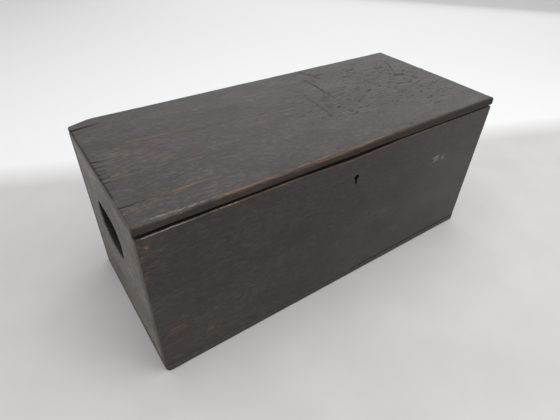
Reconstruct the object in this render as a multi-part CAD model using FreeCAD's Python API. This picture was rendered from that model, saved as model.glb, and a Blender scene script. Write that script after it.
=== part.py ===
# A painted pine storage trunk: a nailed board box, a lid on two iron hinges and a chest lock inside.
# Millimetres. +X runs along the trunk, the front faces -Y and +Z is up.
# The origin is on the floor, under the middle of the box.
import FreeCAD, Part
import math
import os

os.makedirs("parts", exist_ok=True)
V = FreeCAD.Vector
X, Y, Z = V(1, 0, 0), V(0, 1, 0), V(0, 0, 1)

# The box
box_length = 1000.0
box_depth = 425.0
box_height = 406.0
board = 20.0
bottom_board = 18.0
bottom_front_width_share = 0.36
bottom_middle_width_share = 0.31
plank_gap = 0.3

# Wear on the box: the front board's top edge stands under the lid and is hollowed at the lock
front_edge_drop = 4.5
hollow_length = 200.0
hollow_depth = 4.0
top_arris = 3.0
corner_arris = 3.0
foot_corner = 14.0

# The lid
lid_thickness = 19.5
lid_front_board_width = 255.0
lid_front_overhang = 1.0
lid_rear_overhang = 8.0
lid_left_overhang = 1.0
lid_right_overhang = 7.0
lid_front_round = 6.0
lid_under_round = 4.5
lid_back_round = 3.0
lid_right_round = 7.5
lid_left_round = 3.0
broken_corner_length = 55.0
broken_corner_depth = 20.0

# The battens under the lid
batten_width = 42.0
batten_thickness = 16.0
batten_end_gap = 6.0
batten_from_end_board = 14.0
batten_chamfer = 4.0
batten_screw_shares = (0.1, 0.42, 0.75, 0.92)

# The hand holes in the end boards
hand_hole_width = 150.0
hand_hole_height = 104.0
hand_hole_centre_height = 257.0
hand_hole_back_shift = 12.0
hand_hole_top_radius = 40.0
hand_hole_bottom_radius = 50.0
hand_hole_arris = 4.0

# The cut nails: tapered square shanks with a flat head, sunk flush
nail_length = 52.0
nail_head_side = 3.4
nail_tip_side = 1.6
nail_cap_width = 6.5
nail_cap_thickness = 1.4
nail_sink = 0.4
corner_nail_height_shares = (0.07, 0.26, 0.44, 0.59, 0.69, 0.815, 0.928)
bottom_nails_along = 8
bottom_nails_across = 3
bottom_nail_from_end = 60.0

# The wood screws
screw_shank_radius = 1.6
screw_head_radius = 3.3
screw_head_depth = 1.7
screw_point = 3.0
screw_slot_width = 0.8
screw_slot_depth = 0.7
hole_fit = 0.05
hinge_screw_length = 14.0
batten_screw_length = 27.0
lock_screw_length = 15.0
staple_screw_length = 14.0

# The hinges
hinge_length = 62.0
hinge_from_end = 190.0
leaf_width = 17.5
leaf_thickness = 1.5
leaf_clearance = 0.1
leaf_side_gap = 0.2
knuckle_radius = 3.2
knuckle_gap = 0.4
hinge_pin_radius = 1.6
hinge_pin_fit = 0.05
hinge_pin_head_radius = 2.3
hinge_pin_head = 0.9
axis_behind_box = 2.5
hinge_screw_spacing = 21.0
hinge_screw_from_edge = 8.5

# The keyhole, cut through the front board
keyhole_offset = 9.0
keyhole_from_edge = 64.0
keyhole_radius = 6.0
keyhole_slot_width = 7.0
keyhole_slot_drop = 19.5

# The lock case, a shallow iron pan that is open towards the front board
case_width = 92.0
case_height = 78.0
case_depth = 13.0
case_iron = 1.8
case_under_edge = 11.0
ear_width = 15.0
ear_height = 58.0
ear_screw_spacing = 40.0
key_pin_radius = 1.75
key_pin_gap = 1.0

# The sliding bolt and its two guide rivets
bolt_thickness = 4.0
bolt_from_board = 4.2
bolt_throw = 12.0
bolt_bar_length = 44.0
bolt_bar_height = 14.0
bolt_bar_under_edge = 32.0
bolt_arm_width = 10.0
finger_length = 10.0
finger_height = 8.0
finger_under_edge = 14.5
talon_width = 12.0
talon_depth = 3.2
talon_from_arm = 7.0
rivet_radius = 2.2
rivet_shoulder_radius = 3.8
rivet_head = 1.5
rivet_tail_radius = 1.6
rivet_spacing = 21.0
rivet_from_bolt_end = 5.0
rivet_above_bar = 8.0
slide_gap = 0.3

# The flat spring that presses on the bolt
spring_thickness = 0.8
spring_foot_height = 8.0
spring_foot_above_bar = 9.0
spring_touch_length = 4.0
spring_tip_rise = 2.0
spring_tip_gap = 8.0

# The staple plate under the lid, with the tongue that the bolt passes through
staple_plate_length = 50.0
staple_plate_width = 14.0
staple_plate_thickness = 2.0
staple_from_board = 0.8
tongue_thickness = 3.0
tongue_from_finger = 2.0
tongue_front_gap = 1.4
tongue_width = 9.2
tongue_under_eye = 5.0
eye_gap = 0.9
case_slot_gap = 1.0
staple_screw_spacing = 34.0

# One overrun serves every cut, and one small length tells which edges lie on a plane
overrun = 5.0
on_plane = 0.01

# Places that the sizes above give
half_length = box_length / 2
half_depth = box_depth / 2
inner_front = board - half_depth
inner_back = half_depth - board
inner_end = half_length - board
front_top = box_height - front_edge_drop
lid_top = box_height + lid_thickness
lid_front = -half_depth - lid_front_overhang
lid_back = half_depth + lid_rear_overhang
lid_left = -half_length - lid_left_overhang
lid_right = half_length + lid_right_overhang
lid_joint = lid_front + lid_front_board_width
axis_y = half_depth + axis_behind_box
axis_z = box_height
hinge_places = (hinge_from_end - half_length, half_length - hinge_from_end)


def block(low, high):
    """A box between two opposite corners."""
    size = [b - a for a, b in zip(low, high)]
    return Part.makeBox(size[0], size[1], size[2], V(*low))


def rod(start, direction, radius, length):
    """A round bar from a point along a direction."""
    return Part.makeCylinder(radius, length, V(*start), direction)


def fused(shapes):
    """Several touching or overlapping shapes as one clean solid."""
    return shapes[0].multiFuse(shapes[1:]).removeSplitter()


def prism(along, start, end, corners):
    """A bar along x, y or z between two planes. Its corners are (u, v, radius), radius 0 for a sharp one."""
    axis = {"x": X, "y": Y, "z": Z}[along]
    across, up = {"x": (Y, Z), "y": (X, Z), "z": (X, Y)}[along]
    points = [across * u + up * v + axis * start for u, v, radius in corners]
    arcs = []
    for i, (u, v, radius) in enumerate(corners):
        corner = points[i]
        back = (points[i - 1] - corner).normalize()
        ahead = (points[(i + 1) % len(points)] - corner).normalize()
        half_turn = back.getAngle(ahead) / 2
        inward = (back + ahead).normalize()
        reach = radius / math.tan(half_turn)
        middle = corner + inward * (radius / math.sin(half_turn) - radius)
        arcs.append((corner + back * reach, middle, corner + ahead * reach, radius))
    edges = []
    for i, (first, middle, last, radius) in enumerate(arcs):
        if radius:
            edges.append(Part.Arc(first, middle, last).toShape())
        following = arcs[(i + 1) % len(arcs)][0]
        if last.distanceToPoint(following) > on_plane:
            edges.append(Part.LineSegment(last, following).toShape())
    return Part.Face(Part.Wire(edges)).extrude(axis * (end - start))


def rectangle(low_u, low_v, high_u, high_v, radii=(0, 0, 0, 0)):
    """A rectangle's corners for a prism, counted round from the lowest u and v."""
    corners = ((low_u, low_v), (high_u, low_v), (high_u, high_v), (low_u, high_v))
    return [(u, v, radius) for (u, v), radius in zip(corners, radii)]


def turned(profile):
    """A solid of revolution about Z from (radius, z) points, the first and last on the axis."""
    corners = [V(radius, 0, z) for radius, z in profile]
    outline = Part.makePolygon(corners + corners[:1])
    return Part.Face(outline).revolve(V(0, 0, 0), Z, 360)


def moved(shape, place, axis=None, angle=0):
    """A copy of the shape, turned about an axis through its origin and set at a place."""
    copy = shape.copy()
    if axis is not None:
        copy.rotate(V(0, 0, 0), axis, angle)
    copy.translate(V(*place))
    return copy


def nail():
    """A cut nail along +Y: its flat head sits just under the surface at the origin."""
    half_head, half_tip = nail_head_side / 2, nail_tip_side / 2
    shank = Part.makeWedge(-half_head, nail_sink, -half_head, -half_tip, -half_tip,
                           half_head, nail_length, half_head, half_tip, half_tip)
    half_cap = nail_cap_width / 2
    cap = block((-half_cap, nail_sink, -half_head), (half_cap, nail_sink + nail_cap_thickness, half_head))
    return fused([shank, cap])


def nail_pocket():
    """What a driven nail takes out of the wood, up to the surface."""
    half_cap, half_head = nail_cap_width / 2, nail_head_side / 2
    return fused([nail(), block((-half_cap, 0, -half_head), (half_cap, nail_sink, half_head))])


def screw(length, fit=0.0):
    """A countersunk wood screw along -Z, with its head flush at the origin."""
    head, shank = screw_head_radius + fit, screw_shank_radius + fit
    end = -length - fit
    body = turned([(0, 0), (head, 0), (shank, -screw_head_depth - fit), (shank, end + screw_point), (0, end)])
    if fit:
        return body
    half_slot = screw_slot_width / 2
    slot = block((-head, -half_slot, -screw_slot_depth), (head, half_slot, overrun))
    return body.cut(slot)


def set_out(make, places, axis=None, angle=0):
    """Copies of a fastener at several places, as a list of solids."""
    pattern = make()
    return [moved(pattern, place, axis, angle) for place in places]


def fasten(shape, tools):
    """The shape with room cut for the fasteners that pass into it."""
    return shape.cut(Part.makeCompound(tools)).removeSplitter()


def save(name, shape):
    """Writes one node and says what it holds."""
    solids = shape.Solids
    assert solids and all(solid.isValid() for solid in solids), name
    kept = solids[0] if len(solids) == 1 else Part.makeCompound(solids)
    kept.exportStep("parts/" + name + ".step")
    print(name, "solids", len(solids), "volume", round(sum(solid.Volume for solid in solids), 1))


# Where the nails go, and which way they are driven
nail_heights = [bottom_board + (front_top - bottom_board) * share for share in corner_nail_height_shares]
end_middle = half_length - board / 2
edge_middle = half_depth - board / 2
corner_nails = {}
corner_pockets = {}
for face, y, turn in (("front", -half_depth, 0), ("back", half_depth, 180)):
    for side, x in (("left", -end_middle), ("right", end_middle)):
        places = [(x, y, z) for z in nail_heights]
        corner_nails[face + "_" + side] = set_out(nail, places, Z, turn)
        corner_pockets[face + "_" + side] = set_out(nail_pocket, places, Z, turn)

along_step = (box_length - 2 * bottom_nail_from_end) / (bottom_nails_along - 1)
along_row = [bottom_nail_from_end - half_length + along_step * i for i in range(bottom_nails_along)]
across_step = (box_depth - 2 * bottom_nail_from_end) / (bottom_nails_across - 1)
across_row = [bottom_nail_from_end - half_depth + across_step * i for i in range(bottom_nails_across)]
bottom_nail_places = [(x, y, 0) for x in along_row for y in (-edge_middle, edge_middle)]
bottom_nail_places += [(x, y, 0) for x in (-end_middle, end_middle) for y in across_row]
bottom_nails = set_out(nail, bottom_nail_places, X, 90)
bottom_pockets = set_out(nail_pocket, bottom_nail_places, X, 90)


# The hinges: one leaf in the back board's top edge, one in the lid, on a pin behind the box
leaf_mortise = leaf_thickness + leaf_clearance
leaf_front = half_depth - leaf_width
plate_back = axis_y - knuckle_radius - knuckle_gap
hinge_screw_y = leaf_front + hinge_screw_from_edge
half_hinge = hinge_length / 2
knuckle_length = hinge_length / 3


def hinge_leaf(centre, knuckles, up):
    """One hinge leaf about its centre: knuckles are numbered from the left, and up is 1 or -1."""
    low, high = sorted((axis_z + up * leaf_clearance, axis_z + up * leaf_mortise))
    pieces = [block((centre - half_hinge, leaf_front, low), (centre + half_hinge, plate_back, high))]
    for knuckle in knuckles:
        left = centre - half_hinge + knuckle * knuckle_length + (slide_gap / 2 if knuckle else 0)
        right = centre - half_hinge + (knuckle + 1) * knuckle_length - (slide_gap / 2 if knuckle < 2 else 0)
        pieces.append(block((left, plate_back, low), (right, axis_y, high)))
        pieces.append(rod((left, axis_y, axis_z), X, knuckle_radius, right - left))
    whole = fused(pieces)
    bore = rod((centre - half_hinge - overrun, axis_y, axis_z), X, hinge_pin_radius + hinge_pin_fit,
               hinge_length + 2 * overrun)
    return whole.cut(bore)


def hinge_pin(centre):
    """The hinge pin, with a peened head at each end."""
    shank = rod((centre - half_hinge, axis_y, axis_z), X, hinge_pin_radius, hinge_length)
    left_end = centre - half_hinge - hinge_pin_head
    left_head = rod((left_end, axis_y, axis_z), X, hinge_pin_head_radius, hinge_pin_head)
    right_head = rod((centre + half_hinge, axis_y, axis_z), X, hinge_pin_head_radius, hinge_pin_head)
    return fused([shank, left_head, right_head])


def hinge_room(centre, up):
    """What a hinge takes out of the wood: the leaf's mortise and the hollow for its knuckles."""
    reach = half_hinge + leaf_side_gap
    low, high = sorted((axis_z - up * overrun, axis_z + up * leaf_mortise))
    mortise = block((centre - reach, leaf_front - leaf_side_gap, low), (centre + reach, axis_y, high))
    barrel_reach = half_hinge + hinge_pin_head + knuckle_gap
    barrel = rod((centre - barrel_reach, axis_y, axis_z), X, knuckle_radius + knuckle_gap, 2 * barrel_reach)
    return [mortise, barrel]


def hinge_screw_places(centre, up):
    """The three screws of a leaf, with their heads flush in it."""
    height = axis_z + up * leaf_clearance
    return [(centre + step * hinge_screw_spacing, hinge_screw_y, height) for step in (-1, 0, 1)]


hinge_parts = {}
box_hinge_room = []
lid_hinge_room = []
for side, centre in zip(("left", "right"), hinge_places):
    box_places = hinge_screw_places(centre, -1)
    lid_places = hinge_screw_places(centre, 1)
    box_holes = set_out(lambda: screw(hinge_screw_length, hole_fit), box_places)
    lid_holes = set_out(lambda: screw(hinge_screw_length, hole_fit), lid_places, X, 180)
    hinge_parts[side + "_hinge_box_leaf"] = fasten(hinge_leaf(centre, (0, 2), -1), box_holes)
    hinge_parts[side + "_hinge_lid_leaf"] = fasten(hinge_leaf(centre, (1,), 1), lid_holes)
    hinge_parts[side + "_hinge_pin"] = hinge_pin(centre)
    hinge_parts[side + "_hinge_box_screws"] = Part.makeCompound(
        set_out(lambda: screw(hinge_screw_length), box_places))
    hinge_parts[side + "_hinge_lid_screws"] = Part.makeCompound(
        set_out(lambda: screw(hinge_screw_length), lid_places, X, 180))
    box_hinge_room += hinge_room(centre, -1) + box_holes
    lid_hinge_room += hinge_room(centre, 1) + lid_holes


# The lock stands on the inner face of the front board, behind the keyhole
case_back = inner_front + case_depth
case_inner_back = case_back - case_iron
case_top = box_height - case_under_edge
case_bottom = case_top - case_height
case_left = keyhole_offset - case_width / 2
case_right = keyhole_offset + case_width / 2
key_axis_z = box_height - keyhole_from_edge
bolt_front = inner_front + bolt_from_board
bolt_back = bolt_front + bolt_thickness
arm_left = keyhole_offset
arm_right = arm_left + bolt_arm_width
finger_tip = arm_right + finger_length
finger_top = box_height - finger_under_edge
finger_bottom = finger_top - finger_height
bar_top = box_height - bolt_bar_under_edge
bar_bottom = bar_top - bolt_bar_height
bar_left = arm_right - bolt_bar_length
tongue_left = finger_tip + tongue_from_finger
tongue_right = tongue_left + tongue_thickness
tongue_middle = (tongue_left + tongue_right) / 2
tongue_front = inner_front + tongue_front_gap
tongue_back = tongue_front + tongue_width
rivet_z = bar_bottom + rivet_above_bar
right_rivet_x = arm_right - rivet_from_bolt_end
rivet_places = (right_rivet_x - rivet_spacing, right_rivet_x)
lock_screw_places = [
    (middle, inner_front + case_iron, (case_top + case_bottom) / 2 + step * ear_screw_spacing / 2)
    for middle in (case_left - ear_width / 2, case_right + ear_width / 2)
    for step in (-1, 1)
]
staple_screw_y = inner_front + staple_from_board + staple_plate_width / 2
staple_screw_places = [
    (tongue_middle + step * staple_screw_spacing / 2, staple_screw_y, box_height - staple_plate_thickness)
    for step in (-1, 1)
]


def lock_case():
    """The iron pan with its two screw ears, the slot for the tongue and the holes for pin and rivets."""
    pan = block((case_left, inner_front, case_bottom), (case_right, case_back, case_top))
    hollow = block((case_left + case_iron, inner_front - overrun, case_bottom + case_iron),
                   (case_right - case_iron, case_inner_back, case_top - case_iron))
    ear_low = (case_top + case_bottom - ear_height) / 2
    ears = block((case_left - ear_width, inner_front, ear_low),
                 (case_right + ear_width, inner_front + case_iron, ear_low + ear_height))
    slot = block((tongue_left - case_slot_gap, inner_front - overrun, case_top - overrun),
                 (tongue_right + case_slot_gap, case_inner_back, case_top + overrun))
    shape = fused([pan, ears]).cut(hollow).cut(slot)
    key_axis = (keyhole_offset, inner_front, key_axis_z)
    holes = [rod(key_axis, Y, key_pin_radius + hole_fit, case_depth + overrun)]
    holes += [rod((x, inner_front, rivet_z), Y, rivet_tail_radius + hole_fit, case_depth + overrun)
              for x in rivet_places]
    holes += set_out(lambda: screw(lock_screw_length, hole_fit), lock_screw_places, X, -90)
    return fasten(shape, holes)


def lock_bolt():
    """The flat bolt: a bar with slots for its rivets, a talon for the key, an arm and a finger."""
    talon_right = arm_right - talon_from_arm
    talon_left = talon_right - talon_width
    outline = [(bar_left, bar_bottom), (talon_left, bar_bottom), (talon_left, bar_bottom + talon_depth),
               (talon_right, bar_bottom + talon_depth), (talon_right, bar_bottom), (arm_right, bar_bottom),
               (arm_right, finger_bottom), (finger_tip, finger_bottom), (finger_tip, finger_top),
               (arm_left, finger_top), (arm_left, bar_top), (bar_left, bar_top)]
    shape = prism("y", bolt_front, bolt_back, [(x, z, 0) for x, z in outline])
    half_slot = rivet_radius + slide_gap
    for x in rivet_places:
        straight = block((x - bolt_throw, bolt_front - overrun, rivet_z - half_slot),
                         (x, bolt_back + overrun, rivet_z + half_slot))
        ends = [rod((end, bolt_front - overrun, rivet_z), Y, half_slot, bolt_thickness + 2 * overrun)
                for end in (x - bolt_throw, x)]
        shape = shape.cut(fused([straight] + ends))
    return shape


def lock_rivet():
    """A shouldered guide rivet about Z: its tail passes through the case, its head holds the bolt."""
    tail_end = case_back - bolt_back
    shoulder_end = case_inner_back - bolt_back
    head_base = -bolt_thickness - slide_gap
    return turned([(0, tail_end), (rivet_tail_radius, tail_end), (rivet_tail_radius, shoulder_end),
                   (rivet_shoulder_radius, shoulder_end), (rivet_shoulder_radius, slide_gap),
                   (rivet_radius, slide_gap), (rivet_radius, head_base), (rivet_shoulder_radius, head_base),
                   (rivet_shoulder_radius, head_base - rivet_head), (0, head_base - rivet_head)])


def lock_spring():
    """A bent flat spring: its foot stands on the case's side and its nose lies over the bolt's bar."""
    wall = case_left + case_iron
    foot_low = bar_top + spring_foot_above_bar
    nose_z = bar_top + slide_gap
    nose_left = arm_left - spring_tip_gap - 2 * spring_touch_length
    nose_right = nose_left + spring_touch_length
    tip_x = arm_left - spring_tip_gap
    under = [(wall, foot_low), (nose_left, nose_z), (nose_right, nose_z), (tip_x, nose_z + spring_tip_rise)]
    over = [(x, z + spring_thickness) for x, z in reversed(under[1:])]
    foot = [(wall + spring_thickness, foot_low + spring_thickness),
            (wall + spring_thickness, foot_low + spring_foot_height), (wall, foot_low + spring_foot_height)]
    return prism("y", bolt_front, bolt_back, [(x, z, 0) for x, z in under + over + foot])


def staple_plate():
    """The plate under the lid, with the tongue whose eye the bolt's finger passes through."""
    flat = block((tongue_middle - staple_plate_length / 2, inner_front + staple_from_board,
                  box_height - staple_plate_thickness),
                 (tongue_middle + staple_plate_length / 2,
                  inner_front + staple_from_board + staple_plate_width, box_height))
    tongue = block((tongue_left, tongue_front, finger_bottom - eye_gap - tongue_under_eye),
                   (tongue_right, tongue_back, box_height - staple_plate_thickness))
    eye = block((tongue_left - overrun, bolt_front - eye_gap, finger_bottom - eye_gap),
                (tongue_right + overrun, bolt_back + eye_gap, finger_top + eye_gap))
    holes = set_out(lambda: screw(staple_screw_length, hole_fit), staple_screw_places, X, 180)
    return fasten(fused([flat, tongue]).cut(eye), holes)


# The boards of the box
def front_board():
    """The front lies over the ends. Its top edge is worn hollow over the lock, and it has the keyhole."""
    plan = rectangle(-half_length, -half_depth, half_length, inner_front, (corner_arris, corner_arris, 0, 0))
    side = rectangle(-half_depth, bottom_board, inner_front, front_top, (0, 0, 0, top_arris))
    shape = prism("z", bottom_board, front_top, plan).common(prism("x", -half_length, half_length, side))
    half_hollow = hollow_length / 2
    hollow_left = V(-half_hollow, 0, front_top)
    hollow_right = V(half_hollow, 0, front_top)
    arc = Part.Arc(hollow_left, V(0, 0, front_top - hollow_depth), hollow_right)
    rim = Part.LineSegment(hollow_right, hollow_left)
    hollow = Part.Face(Part.Wire([arc.toShape(), rim.toShape()])).extrude(V(0, board + 2 * overrun, 0))
    shape = shape.cut(moved(hollow, (keyhole_offset, -half_depth - overrun, 0)))
    head = rod((keyhole_offset, -half_depth - overrun, key_axis_z), Y, keyhole_radius, board + 2 * overrun)
    half_slot = keyhole_slot_width / 2
    slot = block((keyhole_offset - half_slot, -half_depth - overrun, key_axis_z - keyhole_slot_drop),
                 (keyhole_offset + half_slot, inner_front + overrun, key_axis_z))
    tools = [fused([head, slot])] + corner_pockets["front_left"] + corner_pockets["front_right"]
    tools += bottom_pockets + set_out(lambda: screw(lock_screw_length, hole_fit), lock_screw_places, X, -90)
    return fasten(shape, tools)


def back_board():
    """The back lies over the ends too, and its top edge takes the hinge leaves."""
    plan = rectangle(-half_length, inner_back, half_length, half_depth, (0, 0, corner_arris, corner_arris))
    shape = prism("z", bottom_board, box_height, plan)
    tools = corner_pockets["back_left"] + corner_pockets["back_right"] + bottom_pockets + box_hinge_room
    return fasten(shape, tools)


def hand_hole(side):
    """The hand hole's solid: flat on top, rounder below, running through an end board."""
    low_z = hand_hole_centre_height - hand_hole_height / 2
    low_y = hand_hole_back_shift - hand_hole_width / 2
    radii = (hand_hole_bottom_radius, hand_hole_bottom_radius, hand_hole_top_radius, hand_hole_top_radius)
    outline = rectangle(low_y, low_z, low_y + hand_hole_width, low_z + hand_hole_height, radii)
    return prism("x", side * inner_end - side * overrun, side * half_length + side * overrun, outline)


def on_face(edge, x):
    """Whether an edge lies in the plane at this x."""
    return max(abs(edge.BoundBox.XMin - x), abs(edge.BoundBox.XMax - x)) < on_plane


def meets_joint(edge):
    """Whether an edge of an end board reaches the front or the back board."""
    return edge.BoundBox.YMin < inner_front + on_plane or edge.BoundBox.YMax > inner_back - on_plane


def end_board(side, name):
    """An end board between front and back, with its hand hole; side is -1 on the left and 1 on the right."""
    near, far = sorted((side * inner_end, side * half_length))
    shape = block((near, inner_front, bottom_board), (far, inner_back, box_height))
    shape = shape.cut(hand_hole(side))
    rim = [edge for edge in shape.Edges if on_face(edge, side * half_length) and not meets_joint(edge)]
    shape = shape.makeFillet(hand_hole_arris, rim)
    tools = corner_pockets["front_" + name] + corner_pockets["back_" + name] + bottom_pockets
    return fasten(shape, tools)


bottom_front_edge = -half_depth + box_depth * bottom_front_width_share
bottom_back_edge = bottom_front_edge + box_depth * bottom_middle_width_share


def bottom_plank(low_y, high_y):
    """A bottom plank along the whole box, nailed on from underneath."""
    front_radii = (foot_corner, corner_arris) if low_y == -half_depth else (0, 0)
    back_radii = (corner_arris, corner_arris) if high_y == half_depth else (0, 0)
    plan = rectangle(-half_length, low_y, half_length, high_y, front_radii + back_radii)
    return fasten(prism("z", 0, bottom_board, plan), bottom_pockets)


# The lid
batten_places = (batten_from_end_board - inner_end, inner_end - batten_from_end_board - batten_width)
batten_screw_ys = [inner_front + (inner_back - inner_front) * share for share in batten_screw_shares]
batten_screw_places = {
    side: [(left + batten_width / 2, y, box_height - batten_thickness) for y in batten_screw_ys]
    for side, left in zip(("left", "right"), batten_places)
}
batten_holes = {
    side: set_out(lambda: screw(batten_screw_length, hole_fit), places, X, 180)
    for side, places in batten_screw_places.items()
}


lid_end_radii = (0, lid_right_round, lid_right_round, lid_left_round)
lid_ends = rectangle(lid_left, box_height, lid_right, lid_top, lid_end_radii)


def lid_front_board():
    """The lid's front board: a worn round front edge, and a round nose at the right."""
    radii = (lid_under_round, 0, 0, lid_front_round)
    side = rectangle(lid_front, box_height, lid_joint, lid_top, radii)
    plan = rectangle(lid_left, lid_front, lid_right, lid_joint, (corner_arris, lid_right_round, 0, 0))
    shape = prism("y", lid_front, lid_joint, lid_ends).common(prism("x", lid_left, lid_right, side))
    shape = shape.common(prism("z", box_height, lid_top, plan))
    tools = batten_holes["left"] + batten_holes["right"]
    tools += set_out(lambda: screw(staple_screw_length, hole_fit), staple_screw_places, X, 180)
    return fasten(shape, tools)


def lid_back_board():
    """The lid's back board overhangs the box behind, and its left corner is broken off."""
    side = rectangle(lid_joint, box_height, lid_back, lid_top, (0, 0, lid_back_round, 0))
    plan = [(lid_left, lid_joint, 0), (lid_right, lid_joint, 0), (lid_right, lid_back, corner_arris),
            (lid_left + broken_corner_length, lid_back, 0), (lid_left, lid_back - broken_corner_depth, 0)]
    shape = prism("y", lid_joint, lid_back, lid_ends).common(prism("x", lid_left, lid_right, side))
    shape = shape.common(prism("z", box_height, lid_top, plan))
    return fasten(shape, batten_holes["left"] + batten_holes["right"] + lid_hinge_room)


def lid_batten(left, side):
    """A chamfered batten across the underside of the lid, just inside an end board."""
    right = left + batten_width
    low = box_height - batten_thickness
    section = [(left, box_height, 0), (left, low + batten_chamfer, 0), (left + batten_chamfer, low, 0),
               (right - batten_chamfer, low, 0), (right, low + batten_chamfer, 0), (right, box_height, 0)]
    shape = prism("y", inner_front + batten_end_gap, inner_back - batten_end_gap, section)
    return fasten(shape, batten_holes[side])


# Writing every node
save("front_board", front_board())
save("back_board", back_board())
save("left_end_board", end_board(-1, "left"))
save("right_end_board", end_board(1, "right"))
save("bottom_front_plank", bottom_plank(-half_depth, bottom_front_edge - plank_gap / 2))
save("bottom_middle_plank", bottom_plank(bottom_front_edge + plank_gap / 2, bottom_back_edge - plank_gap / 2))
save("bottom_back_plank", bottom_plank(bottom_back_edge + plank_gap / 2, half_depth))
for corner, solids in corner_nails.items():
    save(corner + "_nails", Part.makeCompound(solids))
save("bottom_nails", Part.makeCompound(bottom_nails))

save("lid_front_board", lid_front_board())
save("lid_back_board", lid_back_board())
for side, left in zip(("left", "right"), batten_places):
    save("lid_batten_" + side, lid_batten(left, side))
    screws = set_out(lambda: screw(batten_screw_length), batten_screw_places[side], X, 180)
    save("lid_batten_screws_" + side, Part.makeCompound(screws))

for name, shape in hinge_parts.items():
    save(name, shape)

save("lock_case", lock_case())
save("lock_bolt", lock_bolt())
save("lock_guide_rivets", Part.makeCompound(
    set_out(lock_rivet, [(x, bolt_back, rivet_z) for x in rivet_places], X, -90)))
save("lock_key_pin", rod((keyhole_offset, inner_front + key_pin_gap, key_axis_z), Y, key_pin_radius,
                         case_depth - key_pin_gap))
save("lock_spring", lock_spring())
save("lock_screws", Part.makeCompound(set_out(lambda: screw(lock_screw_length), lock_screw_places, X, -90)))
save("lid_staple_plate", staple_plate())
save("lid_staple_screws", Part.makeCompound(
    set_out(lambda: screw(staple_screw_length), staple_screw_places, X, 180)))

# The lid opens until the arris of its rear overhang meets the back board
stop_angle = 90 + math.degrees(math.asin(axis_behind_box / (lid_rear_overhang - axis_behind_box)))
print("hinge axis y", axis_y, "z", axis_z, "lid stops at", round(stop_angle, 1), "degrees")
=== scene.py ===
# %% [markdown]
# # A painted pine storage trunk
# The real trunk is a plain box of nailed pine boards about a metre long. Its dark grey paint is old: it has
# rubbed through to orange-brown wood along the arrises and it is scratched and cracked on the lid. The packed
# model is the fixed frame. It gives every size and place, and this lesson dresses it: the boards are rebuilt
# as worn meshes in the same places, and the ironwork keeps its shape and gets better materials.

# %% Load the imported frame
import math

import bmesh
import bpy
import numpy as np
from mathutils import Matrix, Vector, noise


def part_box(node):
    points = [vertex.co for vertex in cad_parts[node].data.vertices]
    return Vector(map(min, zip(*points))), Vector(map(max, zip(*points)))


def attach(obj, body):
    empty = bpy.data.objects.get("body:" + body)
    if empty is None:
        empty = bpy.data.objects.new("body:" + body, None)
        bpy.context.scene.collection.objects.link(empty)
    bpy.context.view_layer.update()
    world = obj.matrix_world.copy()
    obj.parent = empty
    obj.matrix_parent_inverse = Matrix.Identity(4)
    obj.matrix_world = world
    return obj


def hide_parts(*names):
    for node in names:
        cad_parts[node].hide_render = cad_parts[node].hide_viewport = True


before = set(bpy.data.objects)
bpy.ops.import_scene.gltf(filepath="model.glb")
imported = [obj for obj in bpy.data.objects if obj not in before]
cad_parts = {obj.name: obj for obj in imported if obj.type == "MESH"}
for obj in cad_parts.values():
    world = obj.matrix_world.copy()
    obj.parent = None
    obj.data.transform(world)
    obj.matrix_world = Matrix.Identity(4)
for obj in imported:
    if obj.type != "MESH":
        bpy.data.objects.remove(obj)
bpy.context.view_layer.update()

mm = 0.001

# %% [markdown]
# ## Places that everything else uses
# A board is known by its node's box. The front faces -Y, so the lowest y of the front board is the face that
# the eye sees. Photographed marks are placed from the trunk's front left corner, in metres.

# %% The boards' boxes and the trunk's own corner
boxes = {name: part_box(name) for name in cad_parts}
front_low, front_high = boxes["front_board"]
lid_low = boxes["lid_front_board"][0]
lid_high = boxes["lid_back_board"][1]
left, front = front_low.x, front_low.y
lid_under, lid_top = lid_low.z, lid_high.z
box_right, box_back = boxes["back_board"][1].x, boxes["back_board"][1].y
print("lid from", round(lid_under, 4), "to", round(lid_top, 4))


def on_lid(x, y, z=lid_top):
    """A point on the lid's top, given from the trunk's front left corner."""
    return Vector((left + x, front + y, z))


def on_front(x, z):
    """A point on the front board's face, given from its left end and the floor."""
    return Vector((left + x, front, z))


# %% [markdown]
# ## Camera
# The camera stands at the front left and looks down on the trunk. Its place came from fitting a pinhole to
# the trunk's corners and edges, so it is written as the place, the direction of the look and the picture's
# right-hand direction, which leans by a degree and a half. The lens follows from the pinhole's focal length
# in pixels and the picture's width.

# %% Set the camera
def new_object(name, data):
    """A new object in the scene, at its origin."""
    made = bpy.data.objects.new(name, data)
    bpy.context.scene.collection.objects.link(made)
    return made


camera_place = Vector((-0.6047, -0.7608, 0.8738))
camera_look = Vector((0.46196, 0.63449, -0.61969)).normalized()
camera_right = Vector((0.82102, -0.57020, 0.02824)).normalized()
focal_pixels = 419.0
picture_width = 560
sensor_width = 36.0

lens = bpy.data.cameras.new("camera")
lens.sensor_width = sensor_width
lens.lens = focal_pixels / picture_width * sensor_width
camera = new_object("camera", lens)
camera_up = camera_right.cross(camera_look).normalized()
turn = Matrix((camera_right, camera_up, -camera_look)).transposed().to_4x4()
camera.matrix_world = Matrix.Translation(camera_place) @ turn
bpy.context.scene.camera = camera
print("lens", round(lens.lens, 2), "mm")

# %% [markdown]
# ## Colour and nodes
# Colours are written as sRGB hex values, as a paint chart gives them, and one function turns them into the
# linear values that shaders use. One small function adds a shader node with its settings and its links, and
# another starts a material with the object's own coordinates, so that a finish stays on its piece when the
# lid moves.

# %% Three helpers
def linear(code):
    """The linear colour of an sRGB hex value such as "#8a5a34"."""
    parts = [int(code[i:i + 2], 16) / 255 for i in (1, 3, 5)]
    return tuple(p / 12.92 if p <= 0.04045 else ((p + 0.055) / 1.055) ** 2.4 for p in parts) + (1.0,)


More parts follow.
